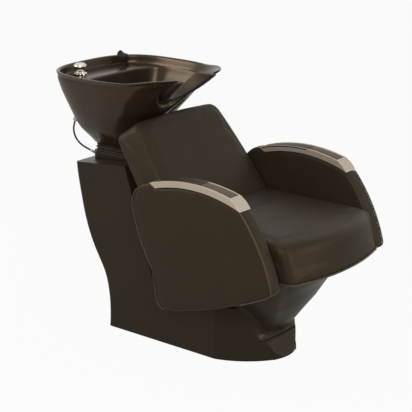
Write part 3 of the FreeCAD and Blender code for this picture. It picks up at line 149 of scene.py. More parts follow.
@dataclass(frozen=True)
class Finish:
    """A real material: its colours, its shader numbers and the pattern on its surface.

    Subclasses add the relief that the eye knows the material by.
    """

    name: str
    colour: str
    shade: str
    roughness: float
    roughness_swing: float = 0.06
    metallic: float = 0.0
    ior: float = 1.5
    gloss_level: float = 0.5
    tint: str = "#ffffff"
    mottle_mm: float = 60.0
    grain_mm: float = 2.0
    relief_mm: float = 0.05

    def relief(self, tree: bpy.types.NodeTree, where: bpy.types.NodeSocket) -> bpy.types.NodeSocket:
        """Makes the height pattern of the surface.

        Args:
            tree: the material's node tree.
            where: object coordinates in metres.

        Returns:
            A socket with heights between 0 and 1.
        """
        return add_noise(tree, where, self.grain_mm, 4.0, 0.55)

    def material(self) -> bpy.types.Material:
        """Builds the material once and hands out the same one afterwards.

        Returns:
            The node-based material.
        """
        label = self.name + "_surface"
        made = bpy.data.materials.get(label)
        if made is not None:
            return made
        made = bpy.data.materials.new(label)
        made.use_nodes = True
        tree = made.node_tree
        shader = tree.nodes["Principled BSDF"]
        where = add_node(tree, "ShaderNodeTexCoord").outputs["Object"]
        mottle = add_noise(tree, where, self.mottle_mm, 5.0, 0.6)
        blend = add_node(tree, "ShaderNodeMix",
                         {"data_type": "RGBA", 6: linear(self.colour), 7: linear(self.shade)},
                         {0: mottle})
        tree.links.new(blend.outputs[2], shader.inputs["Base Color"])
        worn = add_node(tree, "ShaderNodeMapRange",
                        {"To Min": self.roughness - self.roughness_swing,
                         "To Max": self.roughness + self.roughness_swing},
                        {"Value": mottle})
        tree.links.new(worn.outputs["Result"], shader.inputs["Roughness"])
        bump = add_node(tree, "ShaderNodeBump", {"Strength": 1.0, "Distance": self.relief_mm * MM},
                        {"Height": self.relief(tree, where)})
        tree.links.new(bump.outputs["Normal"], shader.inputs["Normal"])
        shader.inputs["Metallic"].default_value = self.metallic
        shader.inputs["IOR"].default_value = self.ior
        shader.inputs["Specular IOR Level"].default_value = self.gloss_level
        shader.inputs["Specular Tint"].default_value = linear(self.tint)
        return made


@dataclass(frozen=True)
class EmbossedVinyl(Finish):
    """PVC-coated cloth, calendered with a fine leather grain: soft sheen broken up by pebbles.

    The real pebbles are about 1 mm; they are drawn 3 mm wide so that the render shows them.
    """

    wave_mm: float = 34.0
    wave_weight: float = 2.2

    def relief(self, tree: bpy.types.NodeTree, where: bpy.types.NodeSocket) -> bpy.types.NodeSocket:
        """Adds rounded pebbles over the slow waves of stretched cloth.

        Args:
            tree: the material's node tree.
            where: object coordinates in metres.

        Returns:
            A socket with heights between 0 and 1.
        """
        pebbles = add_node(tree, "ShaderNodeTexVoronoi",
                           {"feature": "SMOOTH_F1", "Scale": per_metre(self.grain_mm), "Smoothness": 0.7},
                           {"Vector": where})
        lifted = add_node(tree, "ShaderNodeMath", {"operation": "MULTIPLY_ADD", 1: self.wave_weight},
                          {0: add_noise(tree, where, self.wave_mm, 3.0, 0.5), 2: pebbles.outputs["Distance"]})
        return lifted.outputs[0]


@dataclass(frozen=True)
class LinedFinish(Finish):
    """Long fine lines, such as the brushing of anodised aluminium or the grain of plywood: silky.

    Real brushing lines are 0.1 mm apart; they are drawn at 0.8 mm so that they show.
    """

    stretch: tuple[float, float, float] = (1.0, 0.03, 0.12)

    def relief(self, tree: bpy.types.NodeTree, where: bpy.types.NodeSocket) -> bpy.types.NodeSocket:
        """Stretches fine noise along the piece so that it becomes lines.

        Args:
            tree: the material's node tree.
            where: object coordinates in metres.

        Returns:
            A socket with heights between 0 and 1.
        """
        stretched = add_node(tree, "ShaderNodeMapping", {"Scale": self.stretch}, {"Vector": where})
        return add_noise(tree, stretched.outputs["Vector"], self.grain_mm, 3.0, 0.7)


@dataclass(frozen=True)
class BraidedSteel(Finish):
    """Wire braid under a thin black PVC skin: dark gloss, with a tight crossing pattern.

    The real wires are 0.2 mm; the crossings are drawn 1.6 mm apart.
    """

    slant: float = 0.7
    waves_per_unit: float = 6.28

    def relief(self, tree: bpy.types.NodeTree, where: bpy.types.NodeSocket) -> bpy.types.NodeSocket:
        """Crosses two slanting waves to make the braid.

        Args:
            tree: the material's node tree.
            where: object coordinates in metres.

        Returns:
            A socket with heights between 0 and 1.
        """
        heights = []
        for slant in (self.slant, -self.slant):
            turned = add_node(tree, "ShaderNodeMapping", {"Rotation": (slant, slant, 0.0)}, {"Vector": where})
            wave = add_node(tree, "ShaderNodeTexWave",
                            {"Scale": per_metre(self.grain_mm) / self.waves_per_unit, "bands_direction": "Z"},
                            {"Vector": turned.outputs["Vector"]})
            heights.append(wave.outputs["Fac"])
        crossed = add_node(tree, "ShaderNodeMath", {"operation": "MAXIMUM"}, {0: heights[0], 1: heights[1]})
        return crossed.outputs[0]


# Black-brown upholstery vinyl, semi-matt, as on the seat, back and arms
VINYL = EmbossedVinyl("upholstery_vinyl", "#302a20", "#28231a", 0.46, 0.05, gloss_level=0.16,
                      tint="#ffe8cc", mottle_mm=90.0, grain_mm=3.0, relief_mm=0.10)
# The same vinyl wrapped round a cord and pulled tight, so smoother; its colour is lighter than the vinyl's as
# a painted highlight along the piped edges
PIPING_VINYL_PAINTED_HIGHLIGHT = EmbossedVinyl("piping_vinyl", "#3f372b", "#352e23", 0.36, 0.04, gloss_level=0.4,
                             tint="#ffe8cc", mottle_mm=30.0, grain_mm=2.0, relief_mm=0.05)
# Glass-fibre moulding with a black-brown gelcoat: satin, with a faint orange peel
GELCOAT = Finish("moulded_gelcoat", "#2c261d", "#251f17", 0.34, 0.05, gloss_level=0.2, tint="#ffe8cc",
                 mottle_mm=140.0, grain_mm=7.0, relief_mm=0.05)
# Vitreous china, fired with a black-brown glaze: wet gloss, very slight waviness
GLAZED_CHINA = Finish("glazed_china", "#322a1f", "#2a2318", 0.24, 0.03, ior=1.52, gloss_level=0.34,
                      tint="#ffe8cc", mottle_mm=120.0, grain_mm=45.0, relief_mm=0.12)
# Cast polyurethane gel rubber of the neck rest: dull, slightly tacky skin
GEL_RUBBER = Finish("gel_rubber", "#2c271f", "#252019", 0.5, 0.05, gloss_level=0.3, tint="#ffe8cc",
                    grain_mm=4.0, relief_mm=0.06)
# Moulded EPDM rubber of the gaiter and drain hose: matt black with a bloom
EPDM_RUBBER = Finish("epdm_rubber", "#1d1a15", "#272219", 0.62, 0.06, gloss_level=0.15, tint="#ffe8cc",
                     grain_mm=3.0, relief_mm=0.08)
# Injection-moulded ABS of the collar and hand shower: fine spark-eroded texture
TEXTURED_ABS = Finish("textured_abs", "#211d17", "#1b1812", 0.42, 0.04, gloss_level=0.2, tint="#ffe8cc",
                      grain_mm=1.4, relief_mm=0.05)
# Brushed and anodised aluminium of the arm caps
ANODISED = LinedFinish("brushed_anodised_aluminium", "#bcb4a6", "#b0a89a", 0.40, 0.05, metallic=0.55,
                       tint="#fff6ea", mottle_mm=50.0, grain_mm=0.8, relief_mm=0.02)
# Integral-skin polyurethane foam of the arm pads: leathery grey skin
FOAM_SKIN = EmbossedVinyl("integral_skin_urethane", "#5a5346", "#50493d", 0.50, 0.05, gloss_level=0.2,
                          tint="#fff0dc", mottle_mm=40.0, grain_mm=2.5, relief_mm=0.10)
# Chromium plate over turned brass: mirror with a trace of polishing haze
CHROME = Finish("chromium_plate", "#cfcabf", "#c4beb2", 0.09, 0.03, metallic=1.0, grain_mm=12.0,
                relief_mm=0.01)
# Black powder coat baked on steel tube: satin with a pebbled skin
POWDER_COAT = Finish("powder_coat", "#1c1b19", "#232220", 0.5, 0.05, grain_mm=2.2, relief_mm=0.08)
# Zinc-plated steel of pins and screws: grey with cloudy patches
ZINC_PLATE = Finish("zinc_plate", "#a3a29b", "#87867f", 0.32, 0.08, metallic=1.0, mottle_mm=9.0,
                    grain_mm=1.5, relief_mm=0.02)
# Pressed brake lining of the tilt friction: dull brown with fibres
FRICTION_LINING = Finish("friction_lining", "#5a4a38", "#453a2c", 0.85, 0.05, grain_mm=0.9, relief_mm=0.15)
# Birch plywood of the seat and back boards, stained black-brown so that no pale edge shows
PLYWOOD = LinedFinish("stained_plywood", "#33291c", "#2a2116", 0.62, 0.06, mottle_mm=25.0, grain_mm=1.6,
                      relief_mm=0.06)
# Extruded polypropylene of the trap and waste pipe: waxy off-white
POLYPROPYLENE = Finish("waste_polypropylene", "#cfccc2", "#c4c0b4", 0.45, 0.05, grain_mm=3.0,
                       relief_mm=0.04)
# Black PVC skin drawn tight over the shower hose's braid
HOSE_BRAID = BraidedSteel("braided_pvc_hose", "#24201a", "#1b1813", 0.3, 0.05, gloss_level=0.4,
                          mottle_mm=6.0, grain_mm=1.6, relief_mm=0.25)


# Mesh helpers

def add_mesh(name: str, points: Sequence, faces: Sequence, finish: Finish) -> bpy.types.Object:
    """Makes a smooth-shaded mesh object with its finish.

    Args:
        name: the piece's name.
        points: vertices in millimetres.
        faces: tuples of vertex numbers.
        finish: the surface.

    Returns:
        The new object, linked to the scene.
    """
    mesh = bpy.data.meshes.new(name)
    mesh.from_pydata([tuple(float(c) * MM for c in point) for point in points], [],
                     [tuple(int(i) for i in face) for face in faces])
    mesh.validate()
    mesh.shade_smooth()
    mesh.materials.append(finish.material())
    piece = bpy.data.objects.new(name, mesh)
    bpy.context.scene.collection.objects.link(piece)
    return piece


def loft(name: str, rings: Sequence[np.ndarray], finish: Finish, capped: bool = True,
         joined: bool = False) -> bpy.types.Object:
    """Skins closed rings of equal count.

    Args:
        name: the piece's name.
        rings: arrays of points in millimetres, one after the other.
        finish: the surface.
        capped: whether the first and last ring are closed by a fan.
        joined: whether the last ring runs on into the first.

    Returns:
        The new object.
    """
    count = len(rings[0])
    points = [point for ring in rings for point in ring]
    faces = []
    spans = len(rings) if joined else len(rings) - 1
    for level in range(spans):
        low = level * count
        high = ((level + 1) % len(rings)) * count
        for turn in range(count):
            ahead = (turn + 1) % count
            faces.append((low + turn, low + ahead, high + ahead, high + turn))
    if capped and not joined:
        for start, ring, flipped in ((0, rings[0], True), ((len(rings) - 1) * count, rings[-1], False)):
            hub = len(points)
            points.append(np.mean(ring, axis=0))
            for turn in range(count):
                near, ahead = start + turn, start + (turn + 1) % count
                faces.append((ahead, near, hub) if flipped else (near, ahead, hub))
    return add_mesh(name, points, faces, finish)


def arc_through(start: np.ndarray, middle: np.ndarray, end: np.ndarray, count: int) -> np.ndarray:
    """Gives points along the arc through three points, without its last point.

    Args:
        start: the first point in a plane.
        middle: a point on the way.
        end: the last point.
        count: how many points to give.

    Returns:
        An array of count points.
    """
    chord, half_way = end - start, middle - start
    cross = chord[0] * half_way[1] - chord[1] * half_way[0]
    shares = np.arange(count) / count
    if abs(cross) < 1e-6 * (chord @ chord):
        return start + np.outer(shares, chord)
    scale = 0.5 / cross
    centre = start + scale * np.array([
        half_way[1] * (chord @ chord) - chord[1] * (half_way @ half_way),
        chord[0] * (half_way @ half_way) - half_way[0] * (chord @ chord)])
    first, via, last = (math.atan2(*(p - centre)[::-1]) for p in (start, middle, end))
    turn = (last - first) % (2 * math.pi)
    if (via - first) % (2 * math.pi) > turn:
        turn -= 2 * math.pi
    angles = first + turn * shares
    radius = float(np.linalg.norm(start - centre))
    return centre + radius * np.stack([np.cos(angles), np.sin(angles)], axis=1)


def swollen_outline(corners: Sequence[tuple[float, float]], reach: float, bulges: Sequence[float],
                    per_side: int = 16, per_corner: int = 8) -> np.ndarray:
    """Draws four swelling sides joined by rounded corners.

    Args:
        corners: the four corners, counter-clockwise from the front left.
        reach: how far along its sides each rounded corner starts.
        bulges: how far the front, right, rear and left side swell.
        per_side: points along a side.
        per_corner: points round a corner.

    Returns:
        The closed outline, starting at the front left corner's end.
    """
    points = [np.array(corner, float) for corner in corners]
    starts, middles, ends = [], [], []
    for index, corner in enumerate(points):
        back = points[index - 1] - corner
        ahead = points[(index + 1) % 4] - corner
        back, ahead = back / np.linalg.norm(back), ahead / np.linalg.norm(ahead)
        half = math.acos(float(np.clip(back @ ahead, -1, 1))) / 2
        bisector = (back + ahead) / np.linalg.norm(back + ahead)
        starts.append(corner + back * reach)
        ends.append(corner + ahead * reach)
        middles.append(corner + bisector * (reach / math.cos(half) - reach * math.tan(half)))
    runs = []
    for index in range(4):
        following = (index + 1) % 4
        side = starts[following] - ends[index]
        outward = np.array([side[1], -side[0]]) / np.linalg.norm(side)
        belly = (ends[index] + starts[following]) / 2 + outward * bulges[index]
        runs.append(arc_through(ends[index], belly, starts[following], per_side))
        runs.append(arc_through(starts[following], middles[following], ends[following], per_corner))
    return np.concatenate(runs)


def symmetric_quad(low: float, high: float, front: float, rear: float) -> list[tuple[float, float]]:
    """Gives the corners of an outline that is symmetric about X 0."""
    return [(-low, front), (low, front), (high, rear), (-high, rear)]


def smooth_step(share: np.ndarray) -> np.ndarray:
    """Eases a share between 0 and 1 at both ends."""
    return share * share * (3 - 2 * share)


def padded_rings(layers: Sequence[Layer], crown: float) -> list[np.ndarray]:
    """Stacks outlines and closes both ends with rings that shrink towards the middle.

    Args:
        layers: height and outline, from the lowest up.
        crown: how far the top swells; the underside stays flat.

    Returns:
        Rings of points with three coordinates.
    """
    shares = (0.08, 0.35, 0.62, 0.84)

    def drawn_in(layer: Layer, share: float, swelling: float) -> np.ndarray:
        """Draws a layer's outline, shrunk to a share of its size and lifted by the swelling there."""
        height, outline = layer
        middle = outline.mean(axis=0)
        return np.column_stack([middle + (outline - middle) * share,
                                np.full(len(outline), height + swelling * (1 - share ** 2))])

    body = [np.column_stack([outline, np.full(len(outline), height)]) for height, outline in layers]
    low = [drawn_in(layers[0], share, 0.0) for share in shares]
    high = [drawn_in(layers[-1], share, crown) for share in reversed(shares)]
    return low + body + high


def subdivide(piece: bpy.types.Object, levels: int) -> bpy.types.Object:
    """Smooths a piece by subdivision.

    Args:
        piece: the object.
        levels: how many times each face is split.

    Returns:
        The same object.
    """
    smooth = piece.modifiers.new("subdivision", "SUBSURF")
    smooth.levels = levels
    smooth.render_levels = levels
    return piece


def settle(piece: bpy.types.Object) -> bpy.types.Object:
    """Applies every modifier, so that the piece's own mesh is what shows.

    Args:
        piece: the object.

    Returns:
        The same object.
    """
    bpy.context.view_layer.update()
    graph = bpy.context.evaluated_depsgraph_get()
    kept = [slot.material for slot in piece.material_slots]
    finished = bpy.data.meshes.new_from_object(piece.evaluated_get(graph), depsgraph=graph)
    piece.modifiers.clear()
    piece.data = finished
    finished.materials.clear()
    for material in kept:
        finished.materials.append(material)
    finished.shade_smooth()
    return piece


def tube(name: str, points: Sequence, radius: float, steps_along: int, steps_round: int) -> bpy.types.Object:
    """Draws a round tube along a smooth open line.

    Args:
        name: the object's name.
        points: the line in millimetres.
        radius: the tube's radius in millimetres, or 0 for the bare line.
        steps_along: steps between two points of the line.
        steps_round: how finely the tube is rounded.

    Returns:
        The curve object, linked to the scene.
    """
    curve = bpy.data.curves.new(name, "CURVE")
    curve.dimensions = "3D"
    curve.bevel_depth = radius * MM
    curve.bevel_resolution = steps_round
    curve.use_fill_caps = radius > 0
    spline = curve.splines.new("NURBS")
    spline.points.add(len(points) - 1)
    for spot, point in zip(spline.points, points):
        spot.co = (point[0] * MM, point[1] * MM, point[2] * MM, 1.0)
    spline.order_u = 3
    spline.use_endpoint_u = True
    spline.resolution_u = steps_along
    piece = bpy.data.objects.new(name, curve)
    bpy.context.scene.collection.objects.link(piece)
    return piece


def bead(name: str, points: Sequence, radius: float, finish: Finish, body: str) -> bpy.types.Object:
    """Makes a round bead, such as piping, along a smooth line.

    Args:
        name: the piece's name.
        points: the line in millimetres.
        radius: the bead's radius in millimetres.
        finish: the surface.
        body: the body it rides on.

    Returns:
        The curve object.
    """
    piece = tube(name, points, radius, 4, 3)
    piece.data.materials.append(finish.material())
    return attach(piece, body)


@dataclass(frozen=True)
class Stuffing:
    """Blows a pad up a little with cloth, so that its cover looks drawn over foam."""

    voxel_mm: float = 6.0
    # the furthest that a point may move, and how far it may sink below the pad's own face
    most_mm: float = 4.0
    sink_mm: float = 0.8
    pressure: float = 4.0
    last_frame: int = 20

    def fill(self, piece: bpy.types.Object, held: Callable[[np.ndarray], np.ndarray]) -> bpy.types.Object:
        """Remeshes the piece, swells it and keeps each point within the caps outward and inward.

        Args:
            piece: the closed pad.
            held: picks the points, in millimetres, that stay on their board.

        Returns:
            The same object with its new mesh.
        """
        remesh = piece.modifiers.new("even_faces", "REMESH")
        remesh.mode = "VOXEL"
        remesh.voxel_size = self.voxel_mm * MM
        even = piece.modifiers.new("even_out", "SMOOTH")
        even.iterations = 4
        settle(piece)
        rest = self.vectors(piece.data, "co")
        normals = self.vectors(piece.data, "normal")
        pinned = piece.vertex_groups.new(name="held")
        chosen = [int(i) for i in np.nonzero(held(rest / MM))[0]]
        pinned.add(chosen, 1.0, "REPLACE")
        cloth = piece.modifiers.new("cover", "CLOTH")
        cloth.settings.use_pressure = True
        cloth.settings.uniform_pressure_force = self.pressure
        cloth.settings.effector_weights.gravity = 0.0
        cloth.settings.vertex_group_mass = "held"
        cloth.settings.quality = 4
        cloth.collision_settings.use_collision = False
        for frame in range(1, self.last_frame + 1):
            bpy.context.scene.frame_set(frame)
        calm = piece.modifiers.new("calm", "SMOOTH")
        calm.iterations = 3
        settle(piece)
        moved = self.vectors(piece.data, "co") - rest
        outward = np.sum(moved * normals, axis=1, keepdims=True)
        moved = moved - normals * np.minimum(outward + self.sink_mm * MM, 0.0)
        length = np.linalg.norm(moved, axis=1, keepdims=True)
        capped = moved * np.minimum(1.0, self.most_mm * MM / np.maximum(length, 1e-9))
        piece.data.vertices.foreach_set("co", (rest + capped).astype(np.float32).ravel())
        bpy.context.scene.frame_set(1)
        piece.vertex_groups.clear()
        piece.data.update()
        LOG.info("%s filled, %d points", piece.name, len(rest))
        return subdivide(piece, 1)

    @staticmethod
    def vectors(mesh: bpy.types.Mesh, kind: str) -> np.ndarray:
        """Reads a vector of every vertex.

        Args:
            mesh: the mesh.
            kind: "co" for places or "normal" for normals.

        Returns:
            An array with one row for each vertex.
        """
        flat = np.zeros(len(mesh.vertices) * 3, np.float32)
        mesh.vertices.foreach_get(kind, flat)
        return flat.reshape(-1, 3).astype(float)


# Sub-assemblies

@dataclass(frozen=True)
class Lamp:
    """A soft square lamp: where it hangs and what it faces in metres, its side, power and colour."""

    name: str
    place: tuple[float, float, float]
    aim: tuple[float, float, float]
    size: float
    watts: float
    colour: str

    def hang(self) -> None:
        """Adds the lamp to the scene."""
        light = bpy.data.lights.new(self.name, "AREA")
        light.size = self.size
        light.energy = self.watts
        light.color = linear(self.colour)[:3]
        lamp = bpy.data.objects.new(self.name, light)
        bpy.context.scene.collection.objects.link(lamp)
        lamp.location = self.place
        lamp.rotation_mode = "QUATERNION"
        lamp.rotation_quaternion = (Vector(self.aim) - Vector(self.place)).to_track_quat("-Z", "Y")


@dataclass
class Studio:
    """Camera at the photograph's angle, pale floor, white surround and soft lamps."""

    camera_at: tuple[float, float, float] = (-3.609, -2.896, 1.887)
    azimuth: float = -51.0
    elevation: float = 17.0
    lens_mm: float = 121.3
    surround: float = 0.36
    # the floor's side in metres and how far below the object it lies, in millimetres
    floor_size: float = 40.0
    floor_drop: float = 1.0
    floor_colour: str = "#a8a5a0"
    floor_whiteness: float = 0.95
    floor_mirrored: float = 0.4
    lamps: tuple[Lamp, ...] = (
        Lamp("key", (-2.6, -1.7, 1.9), (0.0, -0.1, 0.5), 1.4, 58.0, "#fff4e6"),
        Lamp("rear_left", (-1.6, 2.0, 1.9), (0.0, 0.2, 0.6), 1.2, 30.0, "#fff4e6"),
        Lamp("low_front", (0.6, -3.0, 0.9), (0.0, 0.1, 0.7), 0.8, 20.0, "#fff4e6"),
        Lamp("top", (0.3, 0.2, 2.9), (0.0, 0.0, 0.5), 1.6, 4.0, "#fff8f0"))

    def set_camera(self) -> None:
        """Puts the camera where the photograph was taken from."""
        lens = bpy.data.cameras.new("camera")
        lens.lens = self.lens_mm
        lens.sensor_width = 36.0
        camera = bpy.data.objects.new("camera", lens)
        bpy.context.scene.collection.objects.link(camera)
        turn, rise = math.radians(self.azimuth), math.radians(self.elevation)
        back = Vector((math.sin(turn) * math.cos(rise), -math.cos(turn) * math.cos(rise), math.sin(rise)))
        camera.rotation_mode = "QUATERNION"
        camera.rotation_quaternion = (-back).to_track_quat("-Z", "Y")
        camera.location = self.camera_at
        bpy.context.scene.camera = camera

    def seen_directly(self, tree: bpy.types.NodeTree, straight: float = 1.0,
                      mirrored: float = 1.0) -> bpy.types.NodeSocket:
        """Picks out camera, glossy and transmission rays.

        Args:
            tree: the node tree.
            straight: the share for camera rays.
            mirrored: the share for glossy and transmission rays.

        Returns:
            A socket with those shares, and 0 for light.
        """
        path = add_node(tree, "ShaderNodeLightPath")
        bounced = add_node(tree, "ShaderNodeMath", {"operation": "MAXIMUM"},
                           {0: path.outputs["Is Glossy Ray"], 1: path.outputs["Is Transmission Ray"]})
        dimmed = add_node(tree, "ShaderNodeMath", {"operation": "MULTIPLY", 1: mirrored},
                          {0: bounced.outputs[0]})
        both = add_node(tree, "ShaderNodeMath", {"operation": "MULTIPLY_ADD", 1: straight},
                        {0: path.outputs["Is Camera Ray"], 2: dimmed.outputs[0]})
        return both.outputs[0]

    def set_surround(self) -> None:
        """Makes a white surround whose light on the object stays plain."""
        world = bpy.data.worlds.new("surround")
        bpy.context.scene.world = world
        world.use_nodes = True
        tree = world.node_tree
        tree.nodes.clear()
        level = add_node(tree, "ShaderNodeMapRange", {"To Min": self.surround, "To Max": 1.0},
                         {"Value": self.seen_directly(tree)})
        white = add_node(tree, "ShaderNodeBackground", {"Color": (1.0, 1.0, 1.0, 1.0)},
                         {"Strength": level.outputs["Result"]})
        add_node(tree, "ShaderNodeOutputWorld", {}, {"Surface": white.outputs["Background"]})

    def lay_floor(self) -> None:
        """Lays a pale floor that runs into the white surround and keeps the object's shadow."""
        half = self.floor_size / MM / 2
        corners = [(x * half, y * half, -self.floor_drop) for x, y in ((-1, -1), (1, -1), (1, 1), (-1, 1))]
        floor = add_mesh("floor", corners, [(0, 1, 2, 3)], GELCOAT)
        made = bpy.data.materials.new("pale_floor")
        made.use_nodes = True
        tree = made.node_tree
        tree.nodes.clear()
        matt = add_node(tree, "ShaderNodeBsdfDiffuse", {"Color": linear(self.floor_colour)})
        glow = add_node(tree, "ShaderNodeEmission", {"Color": (1.0, 1.0, 1.0, 1.0), "Strength": 1.0})
        share = self.seen_directly(tree, self.floor_whiteness, self.floor_mirrored)
        both = add_node(tree, "ShaderNodeMixShader", {},
                        {0: share, 1: matt.outputs["BSDF"], 2: glow.outputs["Emission"]})
        add_node(tree, "ShaderNodeOutputMaterial", {}, {"Surface": both.outputs["Shader"]})
        floor.data.materials.clear()
        floor.data.materials.append(made)

    def build(self) -> None:
        """Sets camera, surround, floor and lamps."""
        self.set_camera()
        self.set_surround()
        self.lay_floor()
        for lamp in self.lamps:
            lamp.hang()
        LOG.info("studio ready")


@dataclass
class ShowerHose:
    """The slack loop of the hand shower's hose, from the bowl's gland to the collar's fitting."""

    route: tuple = ((-150, 506, 731), (-153, 511, 712), (-153, 512, 691), (-150, 508, 671),
                    (-142, 500, 651), (-129, 486, 633), (-113, 470, 620))
    length_mm: float = 136.2
    diameter_mm: float = 6.5

    def build(self) -> None:
        thin, full = (tube("hose_line", self.route, radius, 16, 4) for radius in (0.0, self.diameter_mm / 2))
        bpy.context.view_layer.update()
        centre = [tuple(v.co) for v in bpy.data.meshes.new_from_object(thin).vertices]
        mesh = bpy.data.meshes.new_from_object(full)
        for guide in (thin, full):
            bpy.data.objects.remove(guide)
        mesh.materials.clear()
        mesh.materials.append(HOSE_BRAID.material())
        mesh.shade_smooth()
        hose = bpy.data.objects.new("shower_hose", mesh)
        bpy.context.scene.collection.objects.link(hose)
        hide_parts("spray_hose")
        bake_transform(hose)
        LOG.info("shower hose laid")


@dataclass
class WashBasin:
    """The glazed bowl: one skin from the foot up the outside, over the rolled rim and down inside."""

    # height, half width, front, rear, how far the front's middle lies back, squareness in front and behind
    walls: tuple = ((648, 111.5, 268, 486, 0.8, 3.4, 3.4), (668, 130.5, 270, 497, 0.8, 2.8, 3.1),
                    (710, 170, 267, 532.5, 7.5, 2.1, 3.05), (757, 191, 234.6, 552.5, 10.5, 2.3, 3.0),
                    (805, 207, 195.4, 569.5, 25.6, 2.9, 3.15), (845, 220, 166.4, 582, 42.4, 3.4, 3.3),
                    (885, 233, 125, 593, 60, 3.2, 3.2), (915, 241, 54, 600, 99, 2.45, 2.95))
    # the heights over which the table is read, millimetre by millimetre, and the smoothing window
    table_z: tuple[float, float] = (600.0, 981.0)
    window: int = 33
    middle_y: float = 370.0
    dip_half: float = 118.0
    foot_z: float = 648.0
    rim_z: float = 914.0
    wall_thick: float = 9.4
    # the rim rises towards its two tips, from this Y over this length
    tip_rise: float = 14.0
    tip_start_y: float = 215.0
    tip_run: float = 125.0
    notch_half: float = 106.0
    notch_top_z: float = 926.0
    notch_depth: float = 108.0
    notch_rear_y: float = 300.0
    # distances from the middle of the columns round the notch
    columns_x: tuple = (0, 16, 32, 47, 60, 72, 82, 90, 96, 100, 102.8, 104.6, 105.6, 106.4, 108, 111,
                        116, 124, 134, 146, 158)
    # the chin under the neck rest: distance below the rim and how far it stands out there
    chin: tuple = ((0, 6), (10, 10), (22, 16), (34, 21), (44, 22), (56, 17), (74, 7), (92, 0))
    chin_margin: float = 6.0
    # the outer wall: height and how far out, up to a line this far below the rim
    outer_rings: tuple = (
        (648.5, -1.5), (651, 0), (658, 0), (668, 0), (680, 0), (694, 0), (710, 0), (728, 0), (748, 0),
        (768, 0), (788, 0), (808, 0), (828, 0), (848, 0), (866, 0), (880, 0), (890, 0))
    edge_drop: float = 24.0
    # the rolled edge: height over the rim and how far out
    edge_rings: tuple = (
        (-18, -1.2), (-13, -1.6), (-9, 0.4), (-5.5, 2.6), (-2.5, 3.0), (-0.4, 1.8), (0.4, -1.0),
        (0.2, -4.6), (-1.6, -7.8), (-5, -9.4), (-11, -9.6))
    edge_thick: float = 9.0
    inner_drop: float = 11.0
    # the inner wall down to the deck: height and how far out
    inner_rings: tuple = ((893.0, 0.0), (887.0, 0.0), (883.5, -1.0))
    # the deck behind the well: height and share of the way from the wall to the well
    deck_rings: tuple = ((882.3, 0.06), (882.0, 0.3), (881.8, 0.62), (881.4, 0.9))
    deck_y: float = 471.0
    # the well: height, rear face, how far out
    well_rings: tuple = (
        (879.5, 469, -1), (874, 467.5, -1), (862, 466, 0), (840, 464, 0), (812, 462, 0), (784, 460, 0),
        (756, 457, 0), (730, 454, 0), (708, 449, -1), (692, 442, -4), (680, 432, -10), (671.5, 418, -20),
        (667.6, 400, -34))
    floor_z: float = 666.0
    floor_radius: float = 62.0
    drain: tuple[float, float] = (0.0, 395.0)
    # the drain's seat: radius and height
    drain_rings: tuple = ((40.0, 666.1), (35.0, 666.0), (34.4, 665.6), (34.3, 663.8), (22.0, 663.6))

    def __post_init__(self) -> None:
        """Smooths the wall table over height, so that the skin has no kinks."""
        table = np.array(self.walls, float)
        heights = table[:, 0]
        self.dense_z = np.arange(*self.table_z)
        window = np.hanning(self.window)
        window /= window.sum()
        self.dense = []
        for values in table[:, 1:].T:
            line = np.interp(self.dense_z, heights, values)
            for first, second, beyond in ((0, 1, self.dense_z < heights[0]),
                                          (-1, -2, self.dense_z > heights[-1])):
                slope = (values[second] - values[first]) / (heights[second] - heights[first])
                line = np.where(beyond, values[first] + (self.dense_z - heights[first]) * slope, line)
            padded = np.pad(line, self.window // 2, "edge")
            self.dense.append(np.convolve(padded, window, "valid"))

    def plan(self, turns: np.ndarray, heights: np.ndarray, outward: float | np.ndarray,
             rear_limit: float | None = None) -> np.ndarray:
        """Places points of the wall.

        Args:
            turns: angles round the bowl, 0 at the sitter's left and -90 degrees at the front.
            heights: each point's height.
            outward: how far outside the wall's outer face.
            rear_limit: how far back the points may lie, for the well's own rear face.

        Returns:
            An array of points.
        """
        half, front, rear, dip, before, behind = (np.interp(heights, self.dense_z, line)
                                                  for line in self.dense)
        half, front, rear = half + outward, front - outward, rear + outward
        if rear_limit is not None:
            rear = np.minimum(rear, rear_limit)
            behind = behind + 0.5
        square = np.where(np.sin(turns) > 0, behind, before)
        middle = np.minimum(self.middle_y, (front + rear) / 2 + 24)
        across, along = np.cos(turns), np.sin(turns)
        x = half * np.sign(across) * np.abs(across) ** (2 / square)
        reach = np.abs(along) ** (2 / square)
        y = np.where(along > 0, middle + (rear - middle) * reach, middle - (middle - front) * reach)
        share = np.clip(np.abs(x) / self.dip_half, 0, 1)
        y = y + np.where(along < 0, dip * (1 - smooth_step(share)), 0)
        return np.column_stack([x, y, heights])

    def turns(self) -> np.ndarray:
        """Spreads the columns round the bowl, close together at the notch's edges.

        Returns:
            Angles once round the bowl.
        """
        at_rim = int(self.rim_z - self.dense_z[0])
        half, square = self.dense[0][at_rim], self.dense[4][at_rim]
        right = -np.arccos(np.clip(np.array(self.columns_x) / half, 0, 1) ** (square / 2))
        rest = np.linspace(right[-1], math.pi / 2, 48)[1:]
        left_half = np.concatenate([right, rest])
        mirrored = math.pi - left_half[1:-1][::-1]
        return np.concatenate([left_half, mirrored])

    def rim_heights(self, turns: np.ndarray) -> np.ndarray:
        """Gives the rim's height per column: level, rising to the two tips, dropping into the notch.

        Args:
            turns: angles round the bowl.

        Returns:
            The heights.
        """
        heights = np.full(len(turns), self.rim_z)
        for _ in range(8):
            rim = self.plan(turns, heights, 0.0)
            share = np.clip((self.tip_start_y - rim[:, 1]) / self.tip_run, 0, 1)
            level = self.rim_z + self.tip_rise * smooth_step(share)
            across = np.clip(np.abs(rim[:, 0]) / self.notch_half, 0, 1)
            notch = self.notch_top_z - self.notch_depth * np.sqrt(1 - across ** 2)
            cut_out = (rim[:, 1] < self.notch_rear_y) & (np.abs(rim[:, 0]) < self.notch_half)
            heights = 0.4 * heights + 0.6 * np.where(cut_out, np.minimum(notch, level), level)
        return heights

